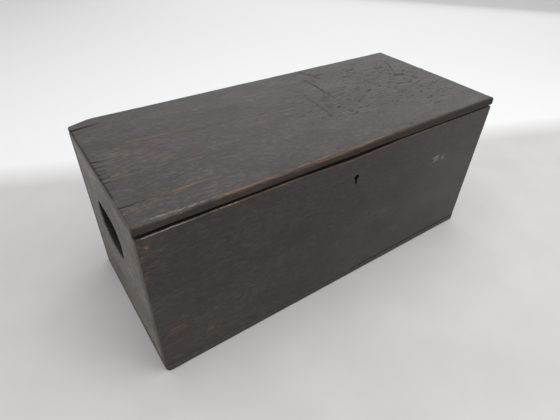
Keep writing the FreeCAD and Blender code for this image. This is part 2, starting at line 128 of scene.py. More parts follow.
def add(tree, kind, settings=None, links=None, out=0):
    """Adds a shader node with its settings, ramp stops and links, and hands back one of its outputs."""
    node = tree.nodes.new("ShaderNode" + kind)
    for key, value in (settings or {}).items():
        if key == "stops":
            ramp = node.color_ramp
            while len(ramp.elements) < len(value):
                ramp.elements.new(0.5)
            for element, (position, code) in zip(ramp.elements, value):
                element.position = position
                element.color = linear(code)
        elif isinstance(key, int) or key in node.inputs:
            node.inputs[key].default_value = value
        else:
            setattr(node, key, value)
    for key, socket in (links or {}).items():
        tree.links.new(socket, node.inputs[key])
    return node.outputs[out] if node.outputs else None


def new_material(name):
    """A material with an empty node tree, the tree, and the object's own coordinates in it."""
    material = bpy.data.materials.new(name)
    material.use_nodes = True
    tree = material.node_tree
    tree.nodes.clear()
    return material, tree, add(tree, "TexCoord", out="Object")


# %% [markdown]
# ## Marks on the wood
# Wear is made of two kinds of mark. A patch is a soft ellipsoid: drawn out long and thin it lies along an
# arris, and short and flat it is a rubbed spot. A stroke is a line between two points: a scratch, a crack or
# a streak of grain. Both give a mask from 0 to 1, worked out from the object's own coordinates, so they stay
# on the wood when the lid moves.

# %% Masks for patches and strokes
def patch_mask(tree, place, centre, radii, strength=1.0):
    """A soft ellipsoid: strength in its middle, nothing outside its radii."""
    offset = add(tree, "VectorMath", {"operation": "SUBTRACT", 1: centre}, {0: place})
    scaled = add(tree, "VectorMath", {"operation": "DIVIDE", 1: radii}, {0: offset})
    reach = add(tree, "VectorMath", {"operation": "LENGTH"}, {0: scaled}, "Value")
    ranged = {"From Min": 1.0, "From Max": 0.0, "To Min": 0.0, "To Max": strength}
    return add(tree, "MapRange", ranged, {"Value": reach})


def stroke_mask(tree, place, start, end, width, strength=1.0):
    """A soft line between two points, as wide as given and fading over half of that."""
    along = end - start
    offset = add(tree, "VectorMath", {"operation": "SUBTRACT", 1: start}, {0: place})
    share = add(tree, "VectorMath", {"operation": "DOT_PRODUCT", 1: along / along.length_squared},
                {0: offset}, "Value")
    kept = add(tree, "Clamp", None, {"Value": share})
    nearest = add(tree, "VectorMath", {"operation": "SCALE", 0: along}, {"Scale": kept})
    apart = add(tree, "VectorMath", {"operation": "DISTANCE"}, {0: offset, 1: nearest}, "Value")
    ranged = {"From Min": width, "From Max": width / 2, "To Min": 0.0, "To Max": strength}
    return add(tree, "MapRange", ranged, {"Value": apart})


def strongest(tree, masks):
    """The strongest of several masks at each place, or None for an empty list."""
    result = None
    for mask in masks:
        if result is None:
            result = mask
        else:
            result = add(tree, "Math", {"operation": "MAXIMUM"}, {0: result, 1: mask})
    return result


def sum_of(tree, terms):
    """Adds up sockets, each times its own weight, from a list of (socket, weight)."""
    total = None
    for socket, weight in terms:
        links = {0: socket} if total is None else {0: socket, 2: total}
        total = add(tree, "Math", {"operation": "MULTIPLY_ADD", 1: weight, 2: 0.0}, links)
    return total


# %% [markdown]
# ## Painted pine
# The paint is an old oil paint, brushed on thin: a charcoal grey with a low sheen that has gone brown in
# patches, with the pine's grain just showing through. Four noises mix into its tone: fibres, streaks of
# grain, patches 7 mm wide and blotches as wide as three fingers. Three more draw the brown tint, dark hair
# lines and small dark specks. The coordinates are squeezed along the grain before they reach a noise, so that
# each pattern is drawn out along the board. Real fibres are 0.03 mm across and real specks under a
# millimetre. Both are drawn much coarser here, so that they show in a picture of the whole trunk.
#
# Stains turn the paint brown. Wear is laid over it in three layers: thin paint is a worn brown tint, bare
# wood is where the paint has gone, and pale wood is freshly rubbed. A darkening layer then darkens and dulls
# the surface; on the lid and the ends it is painted shade. Cracks are nearly black and cut deep, and the same
# near-black paints shade into gaps and under edges. Every edge is ragged, because the same noises are added
# to a mark's strength before it is cut off, and a wandering noise shakes the place that it is measured from.

# %% The painted pine material
# Fibres, hair lines and specks are drawn coarser than real ones, so that they show from a metre away
FIBRE, LINE, STREAK, SPECK = 1.3 * mm, 3 * mm, 4 * mm, 4.5 * mm
PATCH, TINT, BLOTCH = 7 * mm, 11 * mm, 60 * mm
WANDER_SIZE, WANDER_REACH = 12 * mm, 2.5 * mm
RELIEF = 0.7 * mm
GREY_PAINT = [(0.26, "#171613"), (0.46, "#302e2b"), (0.56, "#3e3c38"), (0.76, "#5f5b54")]
BROWN_PAINT = [(0.28, "#1d1511"), (0.50, "#382b25"), (0.72, "#5a483d")]
WORN_WOOD = [(0.36, "#38291d"), (0.50, "#5a4230"), (0.64, "#7a5d43")]
PALE_WOOD = [(0.36, "#5a4a40"), (0.50, "#7d6e61"), (0.64, "#a0958a")]
# Near black for cracks and hair lines; crack marks also lay it as painted shade in gaps and under edges
CRACK_AND_SHADE = "#15110d"
# A dark brown laid by the darkening marks, mostly as painted shade
DARKENING = "#1f1913"
LAYERS = (("thin", 0.42, WORN_WOOD), ("bare", 0.85, WORN_WOOD), ("pale", 0.85, PALE_WOOD))


def grained_noise(tree, place, grain, size, stretch, detail=3.0, roughness=0.55):
    """Noise with features of a given size, drawn out along the grain (0, 1 or 2 for x, y or z)."""
    squeeze = [1 / stretch if axis == grain else 1.0 for axis in range(3)]
    squeezed = add(tree, "VectorMath", {"operation": "MULTIPLY", 1: squeeze}, {0: place})
    return add(tree, "TexNoise", {"Scale": 1 / size, "Detail": detail, "Roughness": roughness},
               {"Vector": squeezed})


def dimmed(stops, share):
    """The same ramp with every colour's sRGB values times a share."""
    codes = [[round(int(code[i:i + 2], 16) * share) for i in (1, 3, 5)] for _, code in stops]
    return [(position, "#%02x%02x%02x" % tuple(code)) for (position, _), code in zip(stops, codes)]


def painted_pine(name, grain=0, shift=0.0, contrast=1.0, level=1.0, **marks):
    """Old grey paint on pine, lighter or darker by its level as painted light and shade, with lists of marks
    for stains, thin paint, bare and pale wood, darkening that is mostly painted shade, and cracks that also
    paint shade into gaps and under edges.
    """
    material, tree, place = new_material(name)
    moved = add(tree, "VectorMath", {"operation": "ADD", 1: [shift] * 3}, {0: place})
    fibre = grained_noise(tree, moved, grain, FIBRE, 9)
    streak = grained_noise(tree, moved, grain, STREAK, 22, 5.0, 0.6)
    patches = grained_noise(tree, moved, grain, PATCH, 2.0, 4.0, 0.62)
    blotch = grained_noise(tree, moved, grain, BLOTCH, 2.0)
    tint = grained_noise(tree, moved, grain, TINT, 16, 4.0, 0.6)
    speck = grained_noise(tree, moved, grain, SPECK, 2.4, 2.0, 0.6)
    wander = add(tree, "TexNoise", {"Scale": 1 / WANDER_SIZE, "Detail": 5.0, "Roughness": 0.65},
                 {"Vector": place}, "Color")
    shake = {"operation": "MULTIPLY_ADD", 1: [2 * WANDER_REACH] * 3, 2: [-WANDER_REACH] * 3}
    shaken = add(tree, "VectorMath", shake, {0: wander})
    marked = add(tree, "VectorMath", {"operation": "ADD"}, {0: place, 1: shaken})

    def masked(key):
        """The strongest mark of one kind at each place, or None."""
        return strongest(tree, [mark(tree, marked) for mark in marks.get(key, ())])

    mixed = sum_of(tree, [(fibre, 0.12), (streak, 0.18), (patches, 0.48), (blotch, 0.22)])
    spread = {"operation": "MULTIPLY_ADD", 1: contrast, 2: 0.5 - 0.5 * contrast}
    tone = add(tree, "Math", spread, {0: mixed})
    # The level draws each board's paint lighter or darker: painted light and shade for the light it gets
    grey = add(tree, "ValToRGB", {"stops": dimmed(GREY_PAINT, level)}, {"Fac": tone})
    brown = add(tree, "ValToRGB", {"stops": dimmed(BROWN_PAINT, level)}, {"Fac": tone})
    browned = add(tree, "MapRange", {"From Min": 0.46, "From Max": 0.60, "To Max": 0.55},
                  {"Value": sum_of(tree, [(tint, 0.55), (blotch, 0.25), (patches, 0.2)])})
    stained = masked("stain")
    if stained is not None:
        uneven = add(tree, "MapRange", {"From Min": 0.40, "From Max": 0.58, "To Min": 0.2},
                     {"Value": sum_of(tree, [(streak, 0.6), (patches, 0.4)])})
        stained = add(tree, "Math", {"operation": "MULTIPLY"}, {0: stained, 1: uneven})
        browned = strongest(tree, [browned, stained])
    colour = add(tree, "Mix", {"data_type": "RGBA"}, {0: browned, 6: grey, 7: brown}, 2)
    lines = add(tree, "MapRange", {"From Min": 0.53, "From Max": 0.64, "To Max": min(0.7, 0.3 * contrast)},
                {"Value": grained_noise(tree, moved, grain, LINE, 20, 4.0, 0.7)})
    dots = add(tree, "MapRange", {"From Min": 0.58, "From Max": 0.66, "To Max": min(0.8, 0.32 * contrast)},
               {"Value": speck})
    dark = strongest(tree, [lines, dots])
    colour = add(tree, "Mix", {"data_type": "RGBA", 7: linear(CRACK_AND_SHADE)}, {0: dark, 6: colour}, 2)
    height = sum_of(tree, [(fibre, 0.1), (streak, 0.25), (patches, 0.35 * contrast), (dark, -0.8)])
    shine = add(tree, "MapRange", {"From Min": 0.35, "From Max": 0.65, "To Min": 0.5 - 0.05 * contrast,
                                   "To Max": 0.5 + 0.05 * contrast},
                {"Value": sum_of(tree, [(patches, 0.6), (streak, 0.4)])})
    for layer, share, stops in LAYERS:
        strength = masked(layer)
        if strength is None:
            continue
        over = add(tree, "ValToRGB", {"stops": stops}, {"Fac": streak})
        ragged = sum_of(tree, [(strength, 1.4), (streak, 1.3), (fibre, 0.9), (patches, 0.8)])
        mask = add(tree, "MapRange", {"From Min": 2.2, "From Max": 2.45, "To Max": share},
                   {"Value": ragged})
        colour = add(tree, "Mix", {"data_type": "RGBA"}, {0: mask, 6: colour, 7: over}, 2)
        height = sum_of(tree, [(mask, -0.25), (height, 1.0)])
        shine = sum_of(tree, [(mask, 0.2), (shine, 1.0)])
    # Darkening marks: mostly painted shade, darker and duller where less light would fall
    darkened = masked("grime")
    if darkened is not None:
        colour = add(tree, "Mix", {"data_type": "RGBA", 7: linear(DARKENING)}, {0: darkened, 6: colour}, 2)
        shine = sum_of(tree, [(darkened, 0.45), (shine, 1.0)])
    # Crack marks: real cracks and joints, and near-black painted shade in gaps and under edges
    crack_and_shade_mask = masked("cracks")
    if crack_and_shade_mask is not None:
        broken = add(tree, "MapRange", {"From Min": 0.34, "From Max": 0.56, "To Min": 0.25, "To Max": 1.15},
                     {"Value": sum_of(tree, [(speck, 0.6), (patches, 0.4)])})
        crack_and_shade_mask = add(tree, "Math", {"operation": "MULTIPLY", "use_clamp": True},
                     {0: crack_and_shade_mask, 1: broken})
        colour = add(tree, "Mix", {"data_type": "RGBA", 7: linear(CRACK_AND_SHADE)}, {0: crack_and_shade_mask, 6: colour}, 2)
        height = sum_of(tree, [(crack_and_shade_mask, -2.0), (height, 1.0)])
        shine = sum_of(tree, [(crack_and_shade_mask, 0.3), (shine, 1.0)])
    bump = add(tree, "Bump", {"Strength": 0.9, "Distance": RELIEF}, {"Height": height})
    skin = add(tree, "BsdfPrincipled", {"IOR": 1.5},
               {"Base Color": colour, "Roughness": shine, "Normal": bump})
    add(tree, "OutputMaterial", None, {"Surface": skin})
    return material


# %% [markdown]
# ## Writing marks down
# A board carries dozens of marks, so each is one row of numbers: its place on the face in metres, its size in
# millimetres and its strength. A row with three half sizes is a patch, and a row with one width is a stroke
# between two places. A strength over 1 keeps a mark whole where the paint's own noise would break it up.

# %% From rows to marks
def patch(centre, radii, strength=1.0):
    """A patch mark for a material, made once its tree exists."""
    return lambda tree, place: patch_mask(tree, place, centre, radii, strength)


def stroke(start, end, width, strength=1.0):
    """A stroke mark for a material, made once its tree exists."""
    return lambda tree, place: stroke_mask(tree, place, start, end, width, strength)


def marks_on(point, rows):
    """Marks on a face from rows of numbers, whose places go through the face's own function."""
    made = []
    for *where, size, strength in rows:
        if isinstance(size, tuple):
            made.append(patch(point(*where), [half * mm for half in size], strength))
        else:
            middle = len(where) // 2
            made.append(stroke(point(*where[:middle]), point(*where[middle:]), size * mm, strength))
    return made


# %% [markdown]
# ## Bare pine
# Inside, the boards were never painted. Old pine darkens to a dull honey brown with darker late-wood lines.
# The lines are stretched noise here too, about 5 mm apart, and the surface is as dry and rough as planed
# softwood. A nearly black copy of the same pine is painted shade, in the holes and where the lid
# meets the box.

# %% The bare pine material
LATE_WOOD = 5 * mm
PINE_FIBRE = mm        # real fibres are 0.03 mm across and would not show
AGED_PINE = [(0.32, "#64482e"), (0.46, "#7f5e3c"), (0.56, "#8f6c45"), (0.72, "#a07d53")]
# Nearly black pine: painted shade for the walls of holes and the gap where the lid meets the box
PINE_SHADE_STOPS = [(0.34, "#0e0c0a"), (0.56, "#1c1713"), (0.70, "#2b231c")]


def bare_pine(name, grain=0, stops=AGED_PINE):
    """Aged, unpainted pine with its late-wood lines along the grain."""
    material, tree, place = new_material(name)
    lines = grained_noise(tree, place, grain, LATE_WOOD, 28, 5.0)
    stain = grained_noise(tree, place, grain, BLOTCH, 3)
    fibre = grained_noise(tree, place, grain, PINE_FIBRE, 20, 2.0)
    tone = sum_of(tree, [(lines, 0.6), (stain, 0.4)])
    wood = add(tree, "ValToRGB", {"stops": stops}, {"Fac": tone})
    height = sum_of(tree, [(lines, 0.6), (fibre, 0.3)])
    bump = add(tree, "Bump", {"Strength": 0.7, "Distance": RELIEF}, {"Height": height})
    skin = add(tree, "BsdfPrincipled", {"IOR": 1.5, "Roughness": 0.78},
               {"Base Color": wood, "Normal": bump})
    add(tree, "OutputMaterial", None, {"Surface": skin})
    return material


# %% [markdown]
# ## Iron
# The hinges and the lock are forged and rolled iron, blackened by age, with orange rust in patches. Clean
# dark iron is a metal with a rough surface. Rust is not metal at all, so one mask drives the colour, the
# metallic value and the roughness together.

# %% The iron material
RUST_PATCH = 9 * mm
GRIT, GRIT_RELIEF = 0.8 * mm, 0.3 * mm        # a little coarser than real rust
RUST = [(0.35, "#38251b"), (0.50, "#573826"), (0.66, "#7a4e2e")]


def aged_iron(name, rust_share, metal_colour="#4a4744"):
    """Dark iron with rust over about the given share of it."""
    material, tree, place = new_material(name)
    patches = add(tree, "TexNoise", {"Scale": 1 / RUST_PATCH, "Detail": 6.0, "Roughness": 0.65},
                  {"Vector": place})
    grit = add(tree, "TexNoise", {"Scale": 1 / GRIT, "Detail": 3.0}, {"Vector": place})
    middle = 0.66 - 0.32 * rust_share
    rust = add(tree, "MapRange", {"From Min": middle - 0.05, "From Max": middle + 0.05},
               {"Value": patches})
    brown = add(tree, "ValToRGB", {"stops": RUST}, {"Fac": grit})
    colour = add(tree, "Mix", {"data_type": "RGBA", 6: linear(metal_colour)}, {0: rust, 7: brown}, 2)
    metallic = add(tree, "MapRange", {"To Min": 0.9, "To Max": 0.0}, {"Value": rust})
    rough = add(tree, "MapRange", {"To Min": 0.46, "To Max": 0.9}, {"Value": rust})
    height = sum_of(tree, [(grit, 0.5), (rust, 0.5)])
    bump = add(tree, "Bump", {"Strength": 0.6, "Distance": GRIT_RELIEF}, {"Height": height})
    skin = add(tree, "BsdfPrincipled", None,
               {"Base Color": colour, "Metallic": metallic, "Roughness": rough, "Normal": bump})
    add(tree, "OutputMaterial", None, {"Surface": skin})
    return material


# %% [markdown]
# ## The mesh of a worn board
# A board starts as a box whose faces are grids, with the grid lines close together near its edges. The points
# near an arris are then pulled onto a round: each point is projected from the nearest point of an inner box,
# at the wear's radius. The radius itself varies along the arris with noise, so the edge is dented and uneven
# as a knocked board's is. Outer faces also sink by a fraction of a millimetre, as planed boards do.

# %% Build a board as a grid and wear its arrises
EDGE_STEPS = np.array([0.0, 0.6, 1.4, 2.4, 3.6, 5.0, 6.6, 8.4]) * mm        # grid lines next to an edge
GRID_STEP = 9 * mm
PLAIN_ARRIS, SHARPEST = 1.2 * mm, 0.3 * mm
ARRIS_REACH = 4 * mm
LONG_DENT, SHORT_DENT = 60 * mm, 14 * mm
SINK, SINK_SIZE = 0.35 * mm, 90 * mm
NAMES = "xyz"


def grid_lines(low, high):
    """Positions from low to high, close together near both ends."""
    steps = EDGE_STEPS[EDGE_STEPS < (high - low) * 0.45]
    count = max(1, round((high - low - 2 * steps[-1]) / GRID_STEP))
    middle = np.linspace(low + steps[-1], high - steps[-1], count + 1)
    return np.concatenate([low + steps[:-1], middle, high - steps[:-1][::-1]])


def grid_box(low, high):
    """The points and quads of a box with gridded faces, wound to face outwards."""
    lines = [grid_lines(a, b) for a, b in zip(low, high)]
    shape = tuple(len(line) for line in lines)
    number = np.full(shape, -1)
    inside = (slice(1, -1),) * 3
    skin = np.ones(shape, bool)
    skin[inside] = False
    number[skin] = np.arange(skin.sum())
    where = np.argwhere(skin)
    points = np.stack([lines[axis][where[:, axis]] for axis in range(3)], axis=1)
    quads = []
    for axis in range(3):
        for last in (False, True):
            sheet = np.take(number, -1 if last else 0, axis=axis)
            quad = np.stack([sheet[:-1, :-1], sheet[1:, :-1], sheet[1:, 1:], sheet[:-1, 1:]], axis=-1)
            outward = last if axis != 1 else not last
            quads.append((quad if outward else quad[..., ::-1]).reshape(-1, 4))
    return points, np.concatenate(quads)


def noise_at(points, scale, seed):
    """Smooth noise from about -1 to 1 at each point, with features of the given size."""
    return np.array([noise.noise(Vector(p) / scale + Vector((seed, -seed, 2 * seed))) for p in points])


def wear_radii(points, low, high, arrises, seed):
    """How far each point's nearest arris is worn round, with dents along it."""
    depth = np.minimum(points - low, high - points)
    upper = points > (low + high) / 2
    total, weights = np.zeros(len(points)), np.zeros(len(points))
    for a, b in ((0, 1), (0, 2), (1, 2)):
        radius = np.full(len(points), PLAIN_ARRIS)
        for side_a in (False, True):
            for side_b in (False, True):
                key = "-+"[side_a] + NAMES[a] + "-+"[side_b] + NAMES[b]
                here = (upper[:, a] == side_a) & (upper[:, b] == side_b)
                radius[here] = arrises.get(key, PLAIN_ARRIS)
        weight = np.exp(-(np.hypot(depth[:, a], depth[:, b]) / ARRIS_REACH) ** 2) + 1e-6
        total += weight * radius
        weights += weight
    slow = noise_at(points, LONG_DENT, seed)
    quick = noise_at(points, SHORT_DENT, seed + 5)
    dented = 1 + 0.45 * slow + 0.9 * np.maximum(0, quick - 0.25)
    return np.clip(total / weights * dented, SHARPEST, EDGE_STEPS[-1])


def worn_points(points, low, high, arrises, sunk, seed):
    """Rounds the arrises of a gridded box, and lets the named outer faces sink unevenly."""
    depth = np.sort(np.minimum(points - low, high - points), axis=1)
    near = depth[:, 1] < EDGE_STEPS[-1]
    radius = np.full(len(points), PLAIN_ARRIS)
    radius[near] = wear_radii(points[near], low, high, arrises, seed)
    room = (high - low).min() * 0.48
    radius = np.minimum(radius, room)[:, None]
    core = np.clip(points, low + radius, high - radius)
    out = points - core
    length = np.linalg.norm(out, axis=1, keepdims=True)
    rounded = np.where(length > 0, core + out / np.maximum(length, 1e-9) * radius, points)
    drop = SINK * (0.5 + 0.5 * noise_at(points, SINK_SIZE, seed + 9))
    for name in sunk:
        axis = NAMES.index(name[1])
        side = high[axis] if name[0] == "+" else low[axis]
        on_side = np.abs(points[:, axis] - side) < 1e-7
        rounded[on_side, axis] += drop[on_side] * (-1 if name[0] == "+" else 1)
    return rounded


def worn_board(name, low, high, arrises, sunk, seed, shape=None):
    """A board's object: a gridded box with worn arrises, and any further shaping of its points."""
    low, high = np.array(low), np.array(high)
    points, quads = grid_box(low, high)
    points = worn_points(points, low, high, arrises, sunk, seed)
    if shape is not None:
        points = shape(points)
    mesh = bpy.data.meshes.new(name)
    mesh.from_pydata(points.tolist(), [], quads.tolist())
    return new_object(name, mesh)


# %% [markdown]
# ## Cutting holes
# Keyhole, hand holes, hinge mortises and nail pockets are cut with a Boolean modifier, whose result is
# applied to the mesh at once. A tool is a stack of outlines with a cap at each end, so one function makes
# boxes, bars and the flared hand hole alike.

# %% Tools and the cut
def stacked(rings):
    """A closed mesh through several rings of as many points each, as a pair of points and faces."""
    count = len(rings[0])
    points = [tuple(point) for ring in rings for point in ring]
    faces = [tuple(range(count - 1, -1, -1)), tuple(range(len(points) - count, len(points)))]
    for level in range(len(rings) - 1):
        for i in range(count):
            j = (i + 1) % count
            base = level * count
            faces.append((base + i, base + j, base + count + j, base + count + i))
    return points, faces


def box_tool(low, high):
    """A plain box as a cutting tool."""
    corners = ((low[0], low[1]), (high[0], low[1]), (high[0], high[1]), (low[0], high[1]))
    return stacked([[(x, y, z) for x, y in corners] for z in (low[2], high[2])])


def bar_tool(start, end, radius, sides=40):
    """A round bar along x as a cutting tool."""
    turns = [2 * math.pi * i / sides for i in range(sides)]
    return stacked([[(x, start[1] + radius * math.cos(t), start[2] + radius * math.sin(t)) for t in turns]
                    for x in (start[0], end[0])])


def cut(board, tools):
    """Cuts closed tools, none of which touch each other, out of a board."""
    points, faces = [], []
    for tool_points, tool_faces in tools:
        base = len(points)
        points += tool_points
        faces += [tuple(base + i for i in face) for face in tool_faces]
    mesh = bpy.data.meshes.new("tool")
    mesh.from_pydata(points, [], faces)
    form = bmesh.new()
    form.from_mesh(mesh)
    bmesh.ops.recalc_face_normals(form, faces=form.faces)
    form.to_mesh(mesh)
    form.free()
    tool = new_object("tool", mesh)
    modifier = board.modifiers.new("cut", "BOOLEAN")
    modifier.operation = "DIFFERENCE"
    modifier.solver = "MANIFOLD"
    modifier.object = tool
    bpy.context.view_layer.update()
    shaped = board.evaluated_get(bpy.context.evaluated_depsgraph_get())
    before = board.data
    board.data = bpy.data.meshes.new_from_object(shaped)
    board.data.name = board.name
    board.modifiers.clear()
    bpy.data.meshes.remove(before)
    bpy.data.objects.remove(tool)
    bpy.data.meshes.remove(mesh)


FACING = 0.7        # a face looks along an axis when that part of its normal is over this
PAINTED_DEPTH = 2 * mm        # paint reaches this far round an outer arris


def finish_board(board, materials, choose, body, node):
    """Gives each face its material, sets the shading and hands the board to its body."""
    board.data.materials.clear()
    for material in materials:
        board.data.materials.append(material)
    for face in board.data.polygons:
        face.material_index = choose(face.center, face.normal)
    board.data.shade_smooth()
    board.data.set_sharp_from_angle(angle=math.radians(50))
    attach(board, body)
    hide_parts(node)
    print(board.name, "faces", len(board.data.polygons))


# %% [markdown]
# ## Nail pockets
# The nails are sunk by less than half a millimetre. Each has a small rectangular pocket in the face of the
# board, as the flat head of a cut nail leaves. The places are those of the nail nodes: heights as shares of
# the front board, and rows along the bottom.

# %% Where the nails are
nail_height_shares = (0.07, 0.26, 0.44, 0.59, 0.69, 0.815, 0.928)
board = front_high.y - front_low.y
pocket_width, pocket_height, pocket_depth = 6.5 * mm, 3.4 * mm, 0.45 * mm
nail_heights = [front_low.z + (front_high.z - front_low.z) * share for share in nail_height_shares]
nail_columns = (left + board / 2, box_right - board / 2)
print("corner nails at heights", [round(z, 3) for z in nail_heights])


def side_pockets(face_y, inward):
    """Pockets for the corner nails in the front or the back face; inward is 1 or -1 along y."""
    tools = []
    for x in nail_columns:
        for z in nail_heights:
            ys = sorted((face_y - inward * mm, face_y + inward * pocket_depth))
            tools.append(box_tool((x - pocket_width / 2, ys[0], z - pocket_height / 2),
                                  (x + pocket_width / 2, ys[1], z + pocket_height / 2)))
    return tools


# %% [markdown]
# ## Front board
# The front board carries the keyhole, a plain cut with no plate, and its top edge is worn down in a long
# hollow over the lock and towards the left end. Its left corner shows the worn spots of the nails. The paint
# is rubbed along the top arris: pale at the left end, orange in the middle. Two small pale spots lie near the
# right. The top edge and the walls of the keyhole are nearly black, as painted shade, and the middle of the
# board is drawn a little darker.

# %% Shape and paint the front board
hollow_shift, hollow_half_length = 25 * mm, 150 * mm
hollow_depth, hollow_fade = 5.5 * mm, 14 * mm
hollow_middle = (boxes["lock_case"][0].x + boxes["lock_case"][1].x) / 2 - hollow_shift
end_wear, end_wear_length = 3.2 * mm, 450 * mm
keyhole_radius, keyhole_half_slot, keyhole_drop = 7 * mm, 2.8 * mm, 19.5 * mm
pin_low, pin_high = boxes["lock_key_pin"]
keyhole_x = (pin_low.x + pin_high.x) / 2
keyhole_z = (pin_low.z + pin_high.z) / 2


def hollow_top(points):
    """Wears the board's top edge down over the lock, and a little towards its left end."""
    across = 1 - ((points[:, 0] - hollow_middle) / hollow_half_length) ** 2
    near_top = np.clip((points[:, 2] - (front_high.z - hollow_fade)) / hollow_fade, 0, 1)
    worn_end = np.clip(1 - (points[:, 0] - left) / end_wear_length, 0, 1)
    points[:, 2] -= (hollow_depth * np.maximum(0, across) + end_wear * worn_end) * near_top
    return points


def keyhole_ring(y):
    """The keyhole's outline at one depth: a round head over a slot."""
    start = math.acos(-math.sqrt(1 - (keyhole_half_slot / keyhole_radius) ** 2)) - math.pi / 2
    turns = np.linspace(-start, math.pi + start, 25)
    ring = [(keyhole_radius * math.cos(t), keyhole_radius * math.sin(t)) for t in turns]
    foot, half = -keyhole_drop, keyhole_half_slot
    ring += [(-half, foot + mm), (-half + mm, foot), (half - mm, foot), (half, foot + mm)]
    return [(keyhole_x + x, y, keyhole_z + z) for x, z in ring]


front_arrises = {"-y+z": 2.6 * mm, "-y-z": 2.2 * mm, "-x-y": 3 * mm, "+x-y": 3 * mm, "-x+z": 2.5 * mm,
                 "+x+z": 6 * mm}
front_piece = worn_board("front_board_worn", front_low, front_high, front_arrises, ["-y"], 3.0, hollow_top)
cut(front_piece, [stacked([keyhole_ring(front - mm), keyhole_ring(front_high.y + mm)])])
cut(front_piece, side_pockets(front, 1))

top = front_high.z
nail_x, top_nail = board / 2, nail_heights[-1]
painted_on_top, painted_at_ends = 3 * mm, 7 * mm
inner_face = Vector((0, board, 0))
# Brown stains: the right half, the foot of the left corner and the left edge
front_stain = marks_on(on_front, [
    (0.8, 0.22, (260, 9, 160), 0.8),
    (0.02, 0.1, (160, 9, 120), 1),
    (0.04, 0.128, (44, 9, 16), 1.5),
    (0.035, 0.09, (34, 9, 10), 1.4),
    (0.02, 0.03, (50, 30, 26), 1.5),
    (0, 0, 0, top, 9, 0.9),
])
# Thin paint: the top and side edges, round the nails, and smears on the face
front_thin = marks_on(on_front, [
    (0, top - end_wear, end_wear_length, top, 5, 0.6),
    (end_wear_length, top, 1, top, 5, 0.5),
    (0, 0, 0, top, 5, 0.52),
    (0.002, 0.3, 0.002, 0.4, 9, 0.55),
    (0.04, 0.128, (38, 9, 14), 1.5),
    (0.035, 0.09, (28, 9, 10), 1.4),
    (0.114, 0.075, (18, 9, 11), 1.1),
    (0.03, 0.035, (24, 30, 12), 1.2),
    (0.9, 0.36, (120, 9, 30), 0.5),
    (0.655, 0.208, (50, 9, 12), 0.62),
    (0.715, 0.188, (50, 9, 10), 0.62),
    (0.525, 0.23, (50, 9, 10), 0.55),
    (0.99, 0.29, (20, 9, 26), 0.7),
    (1, 0, 1, 0.4, 5, 0.5),
])
front_thin += marks_on(on_front, [(nail_x, z, (13, 9, 9), 0.6) for z in nail_heights[:-1]])
# Bare wood: the worn top edge, the top nail and a knock on the right edge
front_bare = marks_on(on_front, [
    (0.15, top - 2.2 * mm, 0.4, top - 0.6 * mm, 3.4, 0.75),
    (0.4, top - mm, 0.78, top, 4.6, 0.78),
    (0.36, top - mm, 0.48, top - 6 * mm, 5, 0.75),
    (0.48, top - 6 * mm, 0.64, top - 1.5 * mm, 5, 0.75),
    (nail_x + 6 * mm, top_nail - mm, (13, 12, 10), 1.6),
    (1, 0.29, (5, 6, 14), 0.9),
])
# Pale rubs: the top arris by the left end, two spots near the right, the top nail
front_pale = marks_on(on_front, [
    (0.012, top - 3.6 * mm, 0.13, top - 2.8 * mm, 2.2, 1),
    (0.13, top - 2.6 * mm, 0.2, top - 2 * mm, 2.4, 0.6),
    (0.8087, 0.2946, (32, 9, 26), 0.95),
    (0.8374, 0.2912, (18, 9, 18), 0.85),
    (nail_x + 6 * mm, top_nail, (8, 12, 6), 0.9),
])
# Darker over the middle of the board
front_grime = marks_on(on_front, [(0.40, 0.28, (450, 12, 260), 0.28)])
# Dark seams: behind the side edges, on the top left corner and over the bottom planks, deepened at the
# right of the last as painted shadow of the open gap
front_cracks = [stroke(on_front(x, 0.0) + inner_face, on_front(x, top) + inner_face, 1.6 * mm, 0.6)
                for x in (0.0, 1.0)]
front_cracks.append(stroke(on_front(0.0, top), on_front(0.0, top) + inner_face, 6 * mm, 0.75))
front_cracks += marks_on(on_front, [
    (0.3, 0.019, 0.55, 0.019, 1.6, 0.6),
    (0.55, 0.02, 0.99, 0.021, 3.4, 1),
])
# The front's paint is drawn darker than the rest (level 0.85): painted shade
front_paint = painted_pine("painted pine, front", contrast=1.3, level=0.85, stain=front_stain,
                           thin=front_thin, bare=front_bare, pale=front_pale, grime=front_grime,
                           cracks=front_cracks)
inner_pine = bare_pine("bare pine, long grain", 0)
# Nearly black pine as painted shade, for the keyhole's walls and the top edge under the lid
pine_in_shade = bare_pine("pine in painted shade, keyhole and top", 0, PINE_SHADE_STOPS)


def front_faces(centre, normal):
    """Paint outside, at ends and worn arris; bare wood inside; painted shade on top and in the keyhole."""
    from_keyhole = math.hypot(centre.x - keyhole_x, centre.z - keyhole_z)
    if from_keyhole < keyhole_drop + 2 * mm and abs(normal.y) < FACING:
        return 2
    if normal.z > FACING and centre.y > front + painted_on_top and abs(normal.x) < FACING:
        return 2
    return 0 if centre.y < front + painted_at_ends or abs(normal.x) > FACING else 1


finish_board(front_piece, [front_paint, inner_pine, pine_in_shade], front_faces, "trunk", "front_board")

# %% [markdown]
# ## Back board
# The back is as plain as the front, with a mortise in its top edge for each hinge and a hollow for the
# knuckles.

# %% Shape and paint the back board
back_low, back_high = boxes["back_board"]
hinge_clearance, knuckle_clearance = 0.2 * mm, 0.4 * mm
leaf_depth, mortise_past = 1.6 * mm, 5 * mm        # the tool starts this far outside the wood


